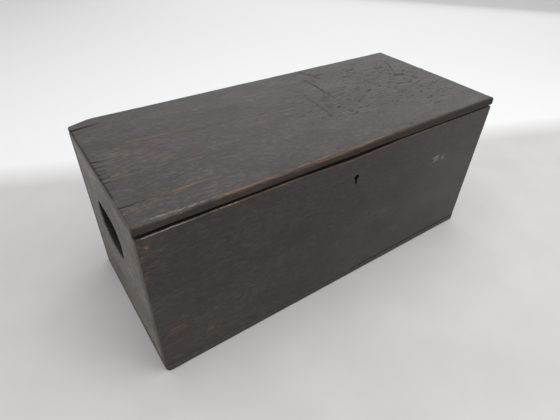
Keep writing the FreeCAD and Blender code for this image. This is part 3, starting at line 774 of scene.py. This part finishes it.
def hinge_tools(side, up):
    """The mortise and the knuckle hollow of one hinge, upwards into the lid or down into the box."""
    leaf_low, leaf_high = boxes[side + "_hinge_box_leaf"]
    pin = boxes[side + "_hinge_pin"]
    axis_y = (pin[0].y + pin[1].y) / 2
    axis_z = (pin[0].z + pin[1].z) / 2
    zs = sorted((axis_z - up * mortise_past, axis_z + up * leaf_depth))
    mortise = box_tool((leaf_low.x - hinge_clearance, leaf_low.y - hinge_clearance, zs[0]),
                       (leaf_high.x + hinge_clearance, axis_y, zs[1]))
    radius = leaf_high.y - axis_y + knuckle_clearance
    hollow = bar_tool((pin[0].x - knuckle_clearance, axis_y, axis_z),
                      (pin[1].x + knuckle_clearance, 0, 0), radius)
    return mortise, hollow


back_piece = worn_board("back_board_worn", back_low, back_high,
                        {"+y+z": 2.2 * mm, "-x+y": 3 * mm, "+x+y": 3 * mm}, ["+y"], 11.0)
for kind in (0, 1):
    cut(back_piece, [hinge_tools(side, -1)[kind] for side in ("left", "right")])
cut(back_piece, side_pockets(box_back, -1))


def on_back(x, z):
    """A point on the back board's face, given from its left end, as seen from the front, and the floor."""
    return Vector((left + x, box_back, z))


back_length = box_right - left
# Thin paint: the top and side edges, and round the nails
back_thin = marks_on(on_back, [
    (0, back_high.z, back_length, back_high.z, 6, 0.6),
    (0, back_high.z, 0, 0, 6, 0.7),
    (back_length, back_high.z, back_length, 0, 6, 0.7),
])
back_thin += marks_on(on_back, [(x - left, z, (9, 7, 6), 0.7) for x in nail_columns for z in nail_heights])
back_cracks = [stroke(Vector((x, back_low.y, 0)), Vector((x, back_low.y, back_high.z)), 1.6 * mm, 0.6)
               for x in (left, box_right)]
back_paint = painted_pine("painted pine, back", shift=3.0, thin=back_thin, cracks=back_cracks)


def back_faces(centre, normal):
    """Paint outside and at the ends, bare wood inside and on the top edge."""
    return 0 if centre.y > box_back - PAINTED_DEPTH or abs(normal.x) > FACING else 1


finish_board(back_piece, [back_paint, inner_pine], back_faces, "trunk", "back_board")

# %% [markdown]
# ## End boards
# Each end has a hand hole, flat on top and rounder below, whose outer arris is worn round by hands. Its tool
# is a stack of the same outline that flares at the outer face along a quarter circle. The hole's walls are
# nearly black, as painted shade. The grain of the ends runs across the trunk, and their top edges slope down
# to the front board's. The left end's slope is the longer one. Each end is drawn darker towards the back and
# the bottom, and along its top under the lid's front corner, as painted shade.

# %% Shape and paint the end boards
hole_width, hole_height = 150 * mm, 104 * mm
hole_centre_y, hole_centre_z = 12 * mm, 257 * mm
hole_top_radius, hole_bottom_radius = 40 * mm, 50 * mm
hole_outer_round, hole_inner_round = 4 * mm, 1.5 * mm
arc_points = 14
hole_margin, hole_zone_top = 6 * mm, 350 * mm        # faces inside these belong to the hole
wall_start, wall_end = 3 * mm, 19 * mm        # depths from the outer face
slope_reach = {-1: 170 * mm, 1: 60 * mm}        # on the left and on the right


def hole_ring(x, grown):
    """The hand hole's outline at one depth, grown outwards by a little."""
    ring = []
    half_w, half_h = hole_width / 2, hole_height / 2
    corners = ((1, 1, hole_top_radius, 0), (-1, 1, hole_top_radius, 1),
               (-1, -1, hole_bottom_radius, 2), (1, -1, hole_bottom_radius, 3))
    for side, rise, radius, quarter in corners:
        for i in range(arc_points):
            t = (quarter + i / (arc_points - 1)) * math.pi / 2
            ring.append((x, hole_centre_y + side * (half_w - radius) + (radius + grown) * math.cos(t),
                         hole_centre_z + rise * (half_h - radius) + (radius + grown) * math.sin(t)))
    return ring


def hand_hole_tool(side, low, high):
    """The hand hole through an end board; side is -1 on the left and 1 on the right."""
    outer, inner = (high.x, low.x) if side > 0 else (low.x, high.x)
    steps = [math.pi / 2 * i / 5 for i in range(6)]
    rings = [hole_ring(outer + side * mm, hole_outer_round)]
    rings += [hole_ring(outer - side * hole_outer_round * (1 - math.cos(t)),
                        hole_outer_round * (1 - math.sin(t))) for t in steps]
    rings += [hole_ring(inner + side * hole_inner_round, 0), hole_ring(inner, hole_inner_round),
              hole_ring(inner - side * mm, hole_inner_round)]
    return stacked(rings)


def end_slope(top, reach):
    """Wears an end board's top edge down to the front board's, over a reach from the front."""
    drop = top - front_high.z

    def shape(points):
        share = np.clip(1 - (points[:, 1] - front_high.y) / reach, 0, 1)
        near_top = np.clip((points[:, 2] - (top - hollow_fade)) / hollow_fade, 0, 1)
        points[:, 2] -= drop * share ** 1.5 * near_top
        return points
    return shape


end_pine = bare_pine("bare pine, cross grain", 1)
# Nearly black pine as painted shade on the hand holes' walls
hole_wall_shade = bare_pine("pine in painted shade, hand holes", 1, PINE_SHADE_STOPS)
for side, name in ((-1, "left_end_board"), (1, "right_end_board")):
    low, high = boxes[name]
    face_x = low.x if side < 0 else high.x
    outer = "-x" if side < 0 else "+x"
    arrises = {outer + "+z": 4 * mm, outer + "-y": 1.6 * mm, outer + "+y": 1.6 * mm}
    end_piece = worn_board(name + "_worn", low, high, arrises, [outer], 20.0 + side,
                           end_slope(high.z, slope_reach[side]))
    cut(end_piece, [hand_hole_tool(side, low, high)])
    rim_low, rim_high = hole_centre_z - hole_height / 2, hole_centre_z + hole_height / 2
    inner_x = high.x if side < 0 else low.x

    def on_end(y, z, face_x=face_x):
        """A point on the end board's face."""
        return Vector((face_x, y, z))

    end_thin = marks_on(on_end, [
        (low.y, high.z, high.y, high.z, 6, 0.45),
        (hole_centre_y - 50 * mm, rim_high, hole_centre_y + 50 * mm, rim_high, 7, 0.6),
        (hole_centre_y - 40 * mm, rim_low, hole_centre_y + 40 * mm, rim_low, 6, 0.55),
    ])
    # Dark joints at both edges, and a line along the top from the front: painted shadow under the lid
    end_cracks = marks_on(on_end, [
        (low.y, low.z, low.y, high.z, 1.6, 0.6),
        (high.y, low.z, high.y, high.z, 1.6, 0.6),
        (low.y, high.z - 3 * mm, low.y + 0.14, high.z, 5, 0.7),
    ])
    # A dark patch about the hole near the inner face: painted shade deep in the hole
    end_cracks.append(patch(Vector((inner_x, hole_centre_y, hole_centre_z)), (21 * mm, 0.3, 0.3), 1.7))
    # Painted shade: darker towards the back and the bottom of the end
    end_grime = marks_on(on_end, [(high.y, 0.02, (20, 280, 260), 0.3)])
    # The ends' paint is drawn much lighter (level 1.72): painted light
    end_paint = painted_pine("painted pine, " + name.split("_")[0] + " end", 1, 7.0 + side, 2.1, 1.72,
                             thin=end_thin, grime=end_grime, cracks=end_cracks)

    def end_faces(centre, normal, face_x=face_x, side=side):
        """Paint outside and on the hand hole's outer arris, painted shade on its walls, bare wood inside."""
        depth = abs(centre.x - face_x)
        beside = abs(centre.y - hole_centre_y) < hole_width / 2 + hole_margin and centre.z < hole_zone_top
        if beside and depth < wall_end and abs(normal.x) < 0.9:
            return 2 if depth > wall_start else 0
        return 0 if depth < PAINTED_DEPTH else 1

    finish_board(end_piece, [end_paint, end_pine, hole_wall_shade], end_faces, "trunk", name)

# %% [markdown]
# ## Bottom planks
# Three planks are nailed on from underneath. Only their edges are painted, and the front left corner has worn
# round from being dragged.

# %% Shape and paint the bottom planks
foot_corner = 14 * mm
plank_names = ("bottom_front_plank", "bottom_middle_plank", "bottom_back_plank")
along_count, across_count = 8, 3
nail_from_end = 60 * mm
paint_reach = 5 * mm
nail_xs = np.linspace(left + nail_from_end, box_right - nail_from_end, along_count)
nail_ys = np.linspace(front + nail_from_end, box_back - nail_from_end, across_count)
floor_nails = [(x, y) for x in nail_xs for y in (front + board / 2, box_back - board / 2)]
floor_nails += [(x, y) for x in nail_columns for y in nail_ys]


def round_foot(points):
    """Rounds the bottom's front left corner in plan."""
    centre = np.array((left + foot_corner, front + foot_corner))
    offset = points[:, :2] - centre
    reach = np.linalg.norm(offset, axis=1)
    beyond = (offset[:, 0] < 0) & (offset[:, 1] < 0) & (reach > foot_corner)
    points[beyond, :2] = centre + offset[beyond] / reach[beyond, None] * foot_corner
    return points


bottom_thin = [
    stroke(Vector((left, front, 0)), Vector((box_right, front, 0)), 5 * mm, 0.45),
    patch(Vector((left, front, 0.01)), (40 * mm, 40 * mm, 16 * mm), 0.6),
]
# Dark seam over the front plank, deepened at the right as painted shadow of the open gap
bottom_cracks = [stroke(on_front(0.55, 0.0185), on_front(0.99, 0.0185), 2.4 * mm, 0.9)]
bottom_paint = painted_pine("painted pine, bottom edge", shift=5.0, contrast=1.5, level=0.9, thin=bottom_thin,
                            cracks=bottom_cracks)
floor_pine = bare_pine("bare pine, underside", 0)
for number, name in enumerate(plank_names):
    low, high = boxes[name]
    arrises = {"-y-z": 2.5 * mm, "-x-z": 2 * mm, "+x-z": 2 * mm, "+y-z": 1.5 * mm} if number == 0 else {}
    plank = worn_board(name + "_worn", low, high, arrises, [], 31.0 + number,
                       round_foot if number == 0 else None)
    pockets = [box_tool((x - pocket_width / 2, y - pocket_height / 2, -mm),
                        (x + pocket_width / 2, y + pocket_height / 2, pocket_depth))
               for x, y in floor_nails if low.y < y < high.y]
    cut(plank, pockets)

    def plank_faces(centre, normal):
        """Paint on the plank's outer edges and a little over them, bare wood above and below."""
        to_edge = min(centre.x - left, box_right - centre.x, centre.y - front, box_back - centre.y)
        return 0 if to_edge < paint_reach else 1

    finish_board(plank, [bottom_paint, floor_pine], plank_faces, "trunk", name)

# %% [markdown]
# ## Lid
# The lid is the face that the photograph shows best. Its front arris is worn round and rubbed to the wood,
# pale at the left and orange to the middle. Its right end is worn back by a few millimetres towards the
# front. Short splits run in from the left end, the back left corner is broken off, and long streaks,
# scratches, a knot, rubbed spots and small dents mark the top. The dents are a noise that is cut off high,
# within four zones.

# %% Shape and paint the lid
PIT = 5.5 * mm
broken_length, broken_depth = 55 * mm, 20 * mm
drawn_in, drawn_in_reach, drawn_in_length = 6.5 * mm, 200 * mm, 30 * mm
slit_reach, ragged_size, ragged_depth = 24 * mm, 7 * mm, 0.8 * mm


def break_corner(points):
    """Breaks the lid's back left corner off along a slanting, ragged face."""
    start = np.array((lid_low.x, lid_high.y - broken_depth))
    end = np.array((lid_low.x + broken_length, lid_high.y))
    along = (end - start) / np.linalg.norm(end - start)
    outward = np.array((-along[1], along[0]))
    beyond = (points[:, :2] - start) @ outward
    ragged = ragged_depth * noise_at(points, ragged_size, 4.0) - 0.5 * mm
    over = beyond > ragged
    points[over, :2] -= outward * (beyond - ragged)[over, None]
    return points


def draw_in_corner(points):
    """Wears the lid's right end back by a few millimetres towards its front corner."""
    towards_front = np.clip(1 - (points[:, 1] - front) / drawn_in_reach, 0, 1)
    towards_end = np.clip(1 - (lid_high.x - points[:, 0]) / drawn_in_length, 0, 1)
    points[:, 0] -= drawn_in * towards_front * towards_end
    return points


def crack_tool(start, end, width, depth):
    """A wedge-shaped groove in the lid's top, from its wide end to its point."""
    along = (end - start).normalized()
    across = Vector((-along.y, along.x, 0))
    rings = []
    for at, half in ((start, width / 2), (end, 0.1 * mm)):
        low, high = at - Vector((0, 0, depth)), at + Vector((0, 0, mm))
        rings.append([tuple(low - across * half * 0.3), tuple(low + across * half * 0.3),
                      tuple(high + across * half), tuple(high - across * half)])
    return stacked(rings)


# Splits in the left end: the y there, the x and y of the point, and width and depth in mm
split_rows = [
    (0.062, 0.03, 0.0615, 2.4, 6),
    (0.125, 0.01, 0.1245, 1.8, 3),
    (0.15, 0.012, 0.149, 2.4, 5),
    (0.167, 0.016, 0.165, 2.4, 5),
    (0.183, 0.012, 0.181, 2.6, 6),
    (0.197, 0.016, 0.194, 2, 4),
    (0.211, 0.018, 0.208, 2.2, 5),
    (0.234, 0.03, 0.2295, 3, 8),
    (0.369, 0.018, 0.367, 2.2, 6),
    (0.3875, 0.064, 0.3985, 10, 7),
]
lid_splits = [(on_lid(-0.004, y), on_lid(x, end_y), width * mm, depth * mm)
              for y, x, end_y, width, depth in split_rows]
# Brown stains: the left end, and round the streaks and the rubbed spots
lid_stain = marks_on(on_lid, [
    (0, 0.1, (100, 200, 9), 1),
    (0.04, 0.255, 0.22, 0.275, 14, 0.9),
    (0.2, 0.262, 0.62, 0.23, 14, 0.9),
    (0.06, 0.3, 0.3, 0.335, 10, 0.6),
    (0.03, 0.063, 0.24, 0.064, 14, 0.9),
    (0.14, 0.19, (100, 30, 9), 0.8),
    (0.64, 0.235, (100, 35, 9), 0.9),
    (0.66, 0.36, (70, 50, 9), 0.8),
    (0.86, 0.24, (100, 50, 9), 0.7),
    (0.43, 0.05, (100, 50, 9), 0.5),
])
# Thin paint: the edges, and rubbed spots and streaks, most of them on the left half
lid_thin = marks_on(on_lid, [
    (0, 0, 1, 0, 8, 0.6),
    (-0.001, 0, -0.001, 0.41, 8, 0.5),
    (1.006, 0, 1.006, 0.43, 7, 0.5),
    (0.02, 0.04, (90, 60, 9), 0.5),
    (0.03, 0.165, (40, 60, 9), 0.6),
    (0.035, 0.405, (60, 16, 12), 0.55),
    (0.132, 0.189, (28, 13, 9), 1.3),
    (0.088, 0.2, (20, 9, 9), 1.2),
    (0.2, 0.182, (32, 12, 9), 1.3),
    (0.175, 0.143, (34, 11, 9), 1.3),
    (0.141, 0.379, (16, 10, 9), 0.8),
    (0.19, 0.384, (24, 12, 9), 0.8),
    (0.187, 0.324, (20, 8, 9), 0.7),
    (0.482, 0.221, (26, 8, 9), 1),
    (0.758, 0.128, (18, 9, 9), 1.2),
    (0.89, 0.069, (20, 8, 9), 1.1),
    (0.045, 0.062, 0.165, 0.063, 5, 0.85),
    (0.05, 0.258, 0.09, 0.273, 4, 0.6),
    (0.09, 0.277, 0.22, 0.273, 7, 0.95),
    (0.03, 0.224, 0.16, 0.226, 5, 0.55),
])
# Bare wood: the front arris, two front corners and the middle of a few spots
lid_bare = marks_on(on_lid, [
    (0.15, 0.001, 0.66, 0.001, 9, 0.66),
    (0.66, 0.001, 0.93, 0.001, 6, 0.55),
    (0, 0.001, 0.15, 0.001, 6, 0.5),
    (0, 0, lid_top - 4 * mm, (9, 9, 14), 0.35),
    (1.005, 0, lid_top - 8 * mm, (14, 12, 16), 0.6),
    (0.095, 0.063, 0.145, 0.0635, 2.6, 0.7),
    (0.208, 0.184, (8, 3, 9), 0.8),
    (0.12, 0.279, 0.2, 0.275, 1.8, 0.5),
])
# Pale rubs: the front arris by the left end, and two chips
lid_pale = marks_on(on_lid, [
    (0.012, 0.006, 0.115, 0.005, 7, 0.52),
    (0.115, 0.004, 0.2, 0.003, 3.4, 0.42),
    (0.166, 0.121, (5, 4, 9), 1),
    (0.2415, 0.306, (5, 5, 9), 1),
])
# Cracks and scratches, the lower edges darkened as painted shade, and small deep dents
lid_cracks = marks_on(on_lid, [
    (0.6237, 0.357, 0.6275, 0.317, 5.5, 0.6),
    (0.6275, 0.317, 0.6215, 0.263, 6, 0.6),
    (0.6215, 0.263, 0.6213, 0.222, 5, 0.5),
    (0.555, 0.256, 0.555, 0.211, 4, 0.5),
    (0.555, 0.211, 0.55, 0.162, 5, 0.42),
    (0.655, 0.411, 0.6645, 0.38, 5, 0.6),
    (0.6645, 0.38, 0.672, 0.348, 5, 0.6),
    (0.952, 0.361, 0.921, 0.305, 4.2, 0.5),
    (0.921, 0.305, 0.893, 0.26, 4.2, 0.5),
    (0.884, 0.257, 0.912, 0.251, 7, 0.9),
    (0.664, 0.1924, 0.703, 0.1924, 2.4, 0.6),
    (0.6505, 0.181, 0.6705, 0.1786, 2.4, 0.6),
    (0.7715, 0.2527, 0.794, 0.2507, 2.2, 0.45),
    (0.809, 0.2656, 0.834, 0.2629, 2.2, 0.5),
    (0.838, 0.0951, 0.863, 0.0929, 2.6, 0.7),
    (0.831, 0.0642, 0.8384, 0.0621, 2.6, 0.6),
    (0.806, 0.17, 0.836, 0.1666, 2.4, 0.5),
    (0.839, 0.209, 0.862, 0.2023, 2.4, 0.5),
    (0.452, 0.2215, 0.512, 0.2185, 1.8, 0.5),
    (0, 0.0615, 0.045, 0.0615, 2.4, 0.7),
    (0.045, 0.0615, 0.095, 0.0615, 1.4, 0.5),
    (0, 0.233, 0.03, 0.2295, 3, 0.5),
    (0.03, 0.2295, 0.06, 0.229, 1.8, 0.5),
    (0, 0.3885, 0.036, 0.3922, 6, 0.7),
    (0.036, 0.3922, 0.06, 0.3982, 3.5, 0.65),
    (-0.001, 0.1, -0.001, 0.4, 4, 0.45),
    (0, 0.003, lid_under, 0.55, 0.003, lid_under, 5.5, 0.85),
    (0.55, 0.003, lid_under, 1, 0.003, lid_under, 4.5, 0.7),
    (0, 0, lid_under, 0, 0.2, lid_under, 3, 0.7),
    (0.25, 0.25, 0.5, 0.236, 2.2, 0.28),
    (0.17, 0.262, 0.3, 0.256, 2, 0.25),
    (0.5, 0.232, 0.62, 0.22, 2, 0.28),
    (0.6455, 0.348, (5, 4, 9), 1),
    (0.5076, 0.0766, (4, 4, 9), 1),
    (0.4524, 0.0161, (5, 3, 9), 1),
    (0.5701, 0.0274, (4, 4, 9), 0.7),
    (0.729, 0.1625, (6, 5, 9), 0.9),
    (0.6612, 0.2351, (7, 4, 9), 0.8),
    (0.6822, 0.0139, (6, 4, 9), 1),
    (0.9521, 0.0668, (6, 5, 9), 0.9),
    (0.992, 0.0944, (4, 5, 9), 0.9),
    (0.994, 0.0672, (5, 6, 9), 1.2),
    (0.994, 0.1718, (4, 5, 9), 0.8),
    (0.616, 0.001, (14, 4, 5), 0.9),
])
# Painted shade: the lower part of the front edge and its corners; the left edge is drawn darker too
lid_grime = marks_on(on_lid, [
    (0, 0, lid_under + 5 * mm, 1, 0, lid_under + 5 * mm, 13, 0.55),
    (0.25, 0, lid_under - 2 * mm, 0.7, 0, lid_top - 9 * mm, 13, 0.8),
    (0.7, 0, lid_top - 9 * mm, 1, 0, lid_top - 8 * mm, 13, 0.85),
    (0, 0, lid_top - 8 * mm, (30, 14, 16), 0.7),
    (1.005, 0, lid_top - 8 * mm, (60, 16, 16), 1),
    (-0.001, 0.1, -0.001, 0.4, 5, 0.35),
])
lid_cracks += [stroke(start, end, width + 1.2 * mm, 0.6) for start, end, width, depth in lid_splits[:-1]]
# Zones of small dents: their middle, half sizes in metres and strength
pit_zones = [
    (on_lid(0.82, 0.25), (0.26, 0.22, 9 * mm), 2),
    (on_lid(0.6, 0.2), (0.18, 0.14, 9 * mm), 1.7),
    (on_lid(0.66, 0.38), (0.14, 0.07, 9 * mm), 1.6),
    (on_lid(0.1, 0.08), (0.16, 0.1, 9 * mm), 0.4),
]


def pits(centre, radii, strength):
    """Small dents in a zone, from noise that is drawn out along the grain and cut off high."""
    def make(tree, place):
        zone = patch_mask(tree, place, centre, radii, strength)
        spots = grained_noise(tree, place, 0, PIT, 4.2, 2.0, 0.5)
        high = add(tree, "MapRange", {"From Min": 0.60, "From Max": 0.67, "To Max": 0.85}, {"Value": spots})
        return add(tree, "Math", {"operation": "MULTIPLY", "use_clamp": True}, {0: zone, 1: high})
    return make


lid_cracks += [pits(*zone) for zone in pit_zones]
# The lid's paint is drawn a little darker (level 0.92): painted shade
lid_paint = painted_pine("painted pine, lid", contrast=1.9, level=0.92, stain=lid_stain, thin=lid_thin,
                         bare=lid_bare, pale=lid_pale, grime=lid_grime, cracks=lid_cracks)
lid_pine = bare_pine("bare pine, lid underside", 0)


def lid_faces(centre, normal):
    """Paint on top and round the edges, bare wood below, painted shade where it meets the front board."""
    if normal.z < -FACING and centre.z < lid_under + 3 * mm:
        return 2 if centre.y < front + slit_reach else 1
    return 0


lid_front_arrises = {"-y+z": 5.5 * mm, "-y-z": 3.5 * mm, "+x+z": 6.5 * mm, "+x-z": 6.5 * mm, "-x+z": 2.5 * mm,
                     "-x-z": 3 * mm, "-x-y": 4 * mm, "+x-y": 7 * mm, "+y+z": 0.2 * mm}
lid_back_arrises = {"+y+z": 3 * mm, "+x+z": 6.5 * mm, "+x-z": 6.5 * mm, "-x+z": 2.5 * mm, "-x-z": 2 * mm,
                    "+x+y": 4 * mm, "-y+z": 0.2 * mm}
lid_parts = (("lid_front_board", lid_front_arrises, ["+z", "-y"], 41.0, draw_in_corner),
             ("lid_back_board", lid_back_arrises, ["+z"], 47.0, break_corner))
for name, arrises, sunk, seed, shape in lid_parts:
    low, high = boxes[name]
    lid_piece = worn_board(name + "_worn", low, high, arrises, sunk, seed, shape)
    for start, end, width, depth in lid_splits:
        if low.y < start.y < high.y:
            cut(lid_piece, [crack_tool(start, end, width, depth)])
    if name == "lid_back_board":
        for kind in (0, 1):
            cut(lid_piece, [hinge_tools(side, 1)[kind] for side in ("left", "right")])
    finish_board(lid_piece, [lid_paint, lid_pine, pine_in_shade], lid_faces, "lid", name)

# %% [markdown]
# ## Battens, nails and ironwork
# These nodes keep their own shapes. The battens are bare pine across the lid. The nails are rusted through,
# so they have almost no metal left, while the hinges and the lock are dark iron with some rust.

# %% Give the kept nodes their materials
batten_pine = bare_pine("bare pine, battens", 1)
nail_iron = aged_iron("rusted iron, nails", 0.8, "#3a3734")
lock_iron = aged_iron("dark iron, lock", 0.35)
hinge_iron = aged_iron("dark iron, hinges", 0.55)
bolt_iron = aged_iron("worn iron, bolt and spring", 0.15, "#6b6762")
for name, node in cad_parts.items():
    if name.endswith("_nails"):
        chosen = nail_iron
    elif name.startswith("lid_batten") and "screws" not in name:
        chosen = batten_pine
    elif name in ("lock_bolt", "lock_spring", "lock_key_pin", "lock_guide_rivets"):
        chosen = bolt_iron
    elif "hinge" in name:
        chosen = hinge_iron
    else:
        chosen = lock_iron
    for slot in node.material_slots:
        slot.material = chosen
print("materials given to", len(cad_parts), "nodes")

# %% [markdown]
# ## Floor and light
# The trunk stands on a plain pale floor, as dull as a cement screed, that turns white behind the trunk as a
# paper sweep does. A white sky lights the left end and the front. Three wide soft lamps add to it: one at the
# front right, as a window would, one overhead for the lid, and a dim one far behind on the right, as a white
# wall there would be, so that the lid has a sheen where the eye meets it at a low angle. The sky is brighter
# to the eye and to mirrors than it is as a light, so that the background is white while the shadows stay soft
# and dark.

# %% The floor
FLOOR_REACH = 9.0
SWEEP_DIRECTION = (0.368, 0.930, 0.0)        # straight away from the eye
SWEEP_START, SWEEP_END = 0.44, 0.60        # metres from the middle of the trunk, where it turns white
floor_corners = [(x * FLOOR_REACH, y * FLOOR_REACH, 0) for x, y in ((-1, -1), (1, -1), (1, 1), (-1, 1))]
floor_mesh = bpy.data.meshes.new("floor")
floor_mesh.from_pydata(floor_corners, [], [(0, 1, 2, 3)])
floor = new_object("floor", floor_mesh)
floor_material, tree, place = new_material("pale screed")
cloud = add(tree, "TexNoise", {"Scale": 5.0, "Detail": 6.0}, {"Vector": place})
screed = add(tree, "ValToRGB", {"stops": [(0.35, "#cbc9c7"), (0.65, "#d1cfcd")]}, {"Fac": cloud})
behind = add(tree, "VectorMath", {"operation": "DOT_PRODUCT", 1: SWEEP_DIRECTION}, {0: place}, "Value")
white = add(tree, "MapRange", {"From Min": SWEEP_START, "From Max": SWEEP_END}, {"Value": behind})
swept = add(tree, "Mix", {"data_type": "RGBA", 7: linear("#f4f4f4")}, {0: white, 6: screed}, 2)
skin = add(tree, "BsdfPrincipled", {"Roughness": 0.85, "IOR": 1.45}, {"Base Color": swept})
add(tree, "OutputMaterial", None, {"Surface": skin})
floor_mesh.materials.append(floor_material)
print("floor", 2 * FLOOR_REACH, "m wide")

# %% The lamps and the sky
# Name, place, target, width and height, watts and colour of each lamp
LAMPS = (
    ("window", (1.6, -2.0, 2.9), (0, 0, 0.2), (2.2, 2.2), 36, "#fffefb"),
    ("overhead", (-0.3, -0.2, 3.2), (0, 0, 0.2), (3.0, 3.0), 60, "#fdfdff"),
    ("far wall", (2.3, 2.1, 1.4), (0.1, 0, 0.4), (5.0, 2.6), 20, "#fffefc"),
)
SKY_LIGHT, SKY_SEEN = 0.5, 0.84
for name, lamp_place, target, size, watts, lamp_colour in LAMPS:
    lamp = bpy.data.lights.new(name, "AREA")
    lamp.shape = "RECTANGLE"
    lamp.size, lamp.size_y = size
    lamp.energy = watts
    lamp.color = linear(lamp_colour)[:3]
    holder = new_object(name, lamp)
    holder.location = lamp_place
    holder.rotation_euler = (Vector(target) - Vector(lamp_place)).to_track_quat("-Z", "Y").to_euler()

world = bpy.data.worlds.new("sky")
world.use_nodes = True
sky_tree = world.node_tree
sky_tree.nodes.clear()
rays = add(sky_tree, "LightPath").node.outputs
seen = strongest(sky_tree, [rays["Is Camera Ray"], rays["Is Glossy Ray"], rays["Is Transmission Ray"]])
sky_strength = add(sky_tree, "MapRange", {"To Min": SKY_LIGHT, "To Max": SKY_SEEN}, {"Value": seen})
sky = add(sky_tree, "Background", {"Color": linear("#f6f6f7")}, {"Strength": sky_strength})
add(sky_tree, "OutputWorld", None, {"Surface": sky})
bpy.context.scene.world = world
bpy.context.scene.view_settings.view_transform = "Standard"
print("lamps", len(LAMPS), "and a white sky")
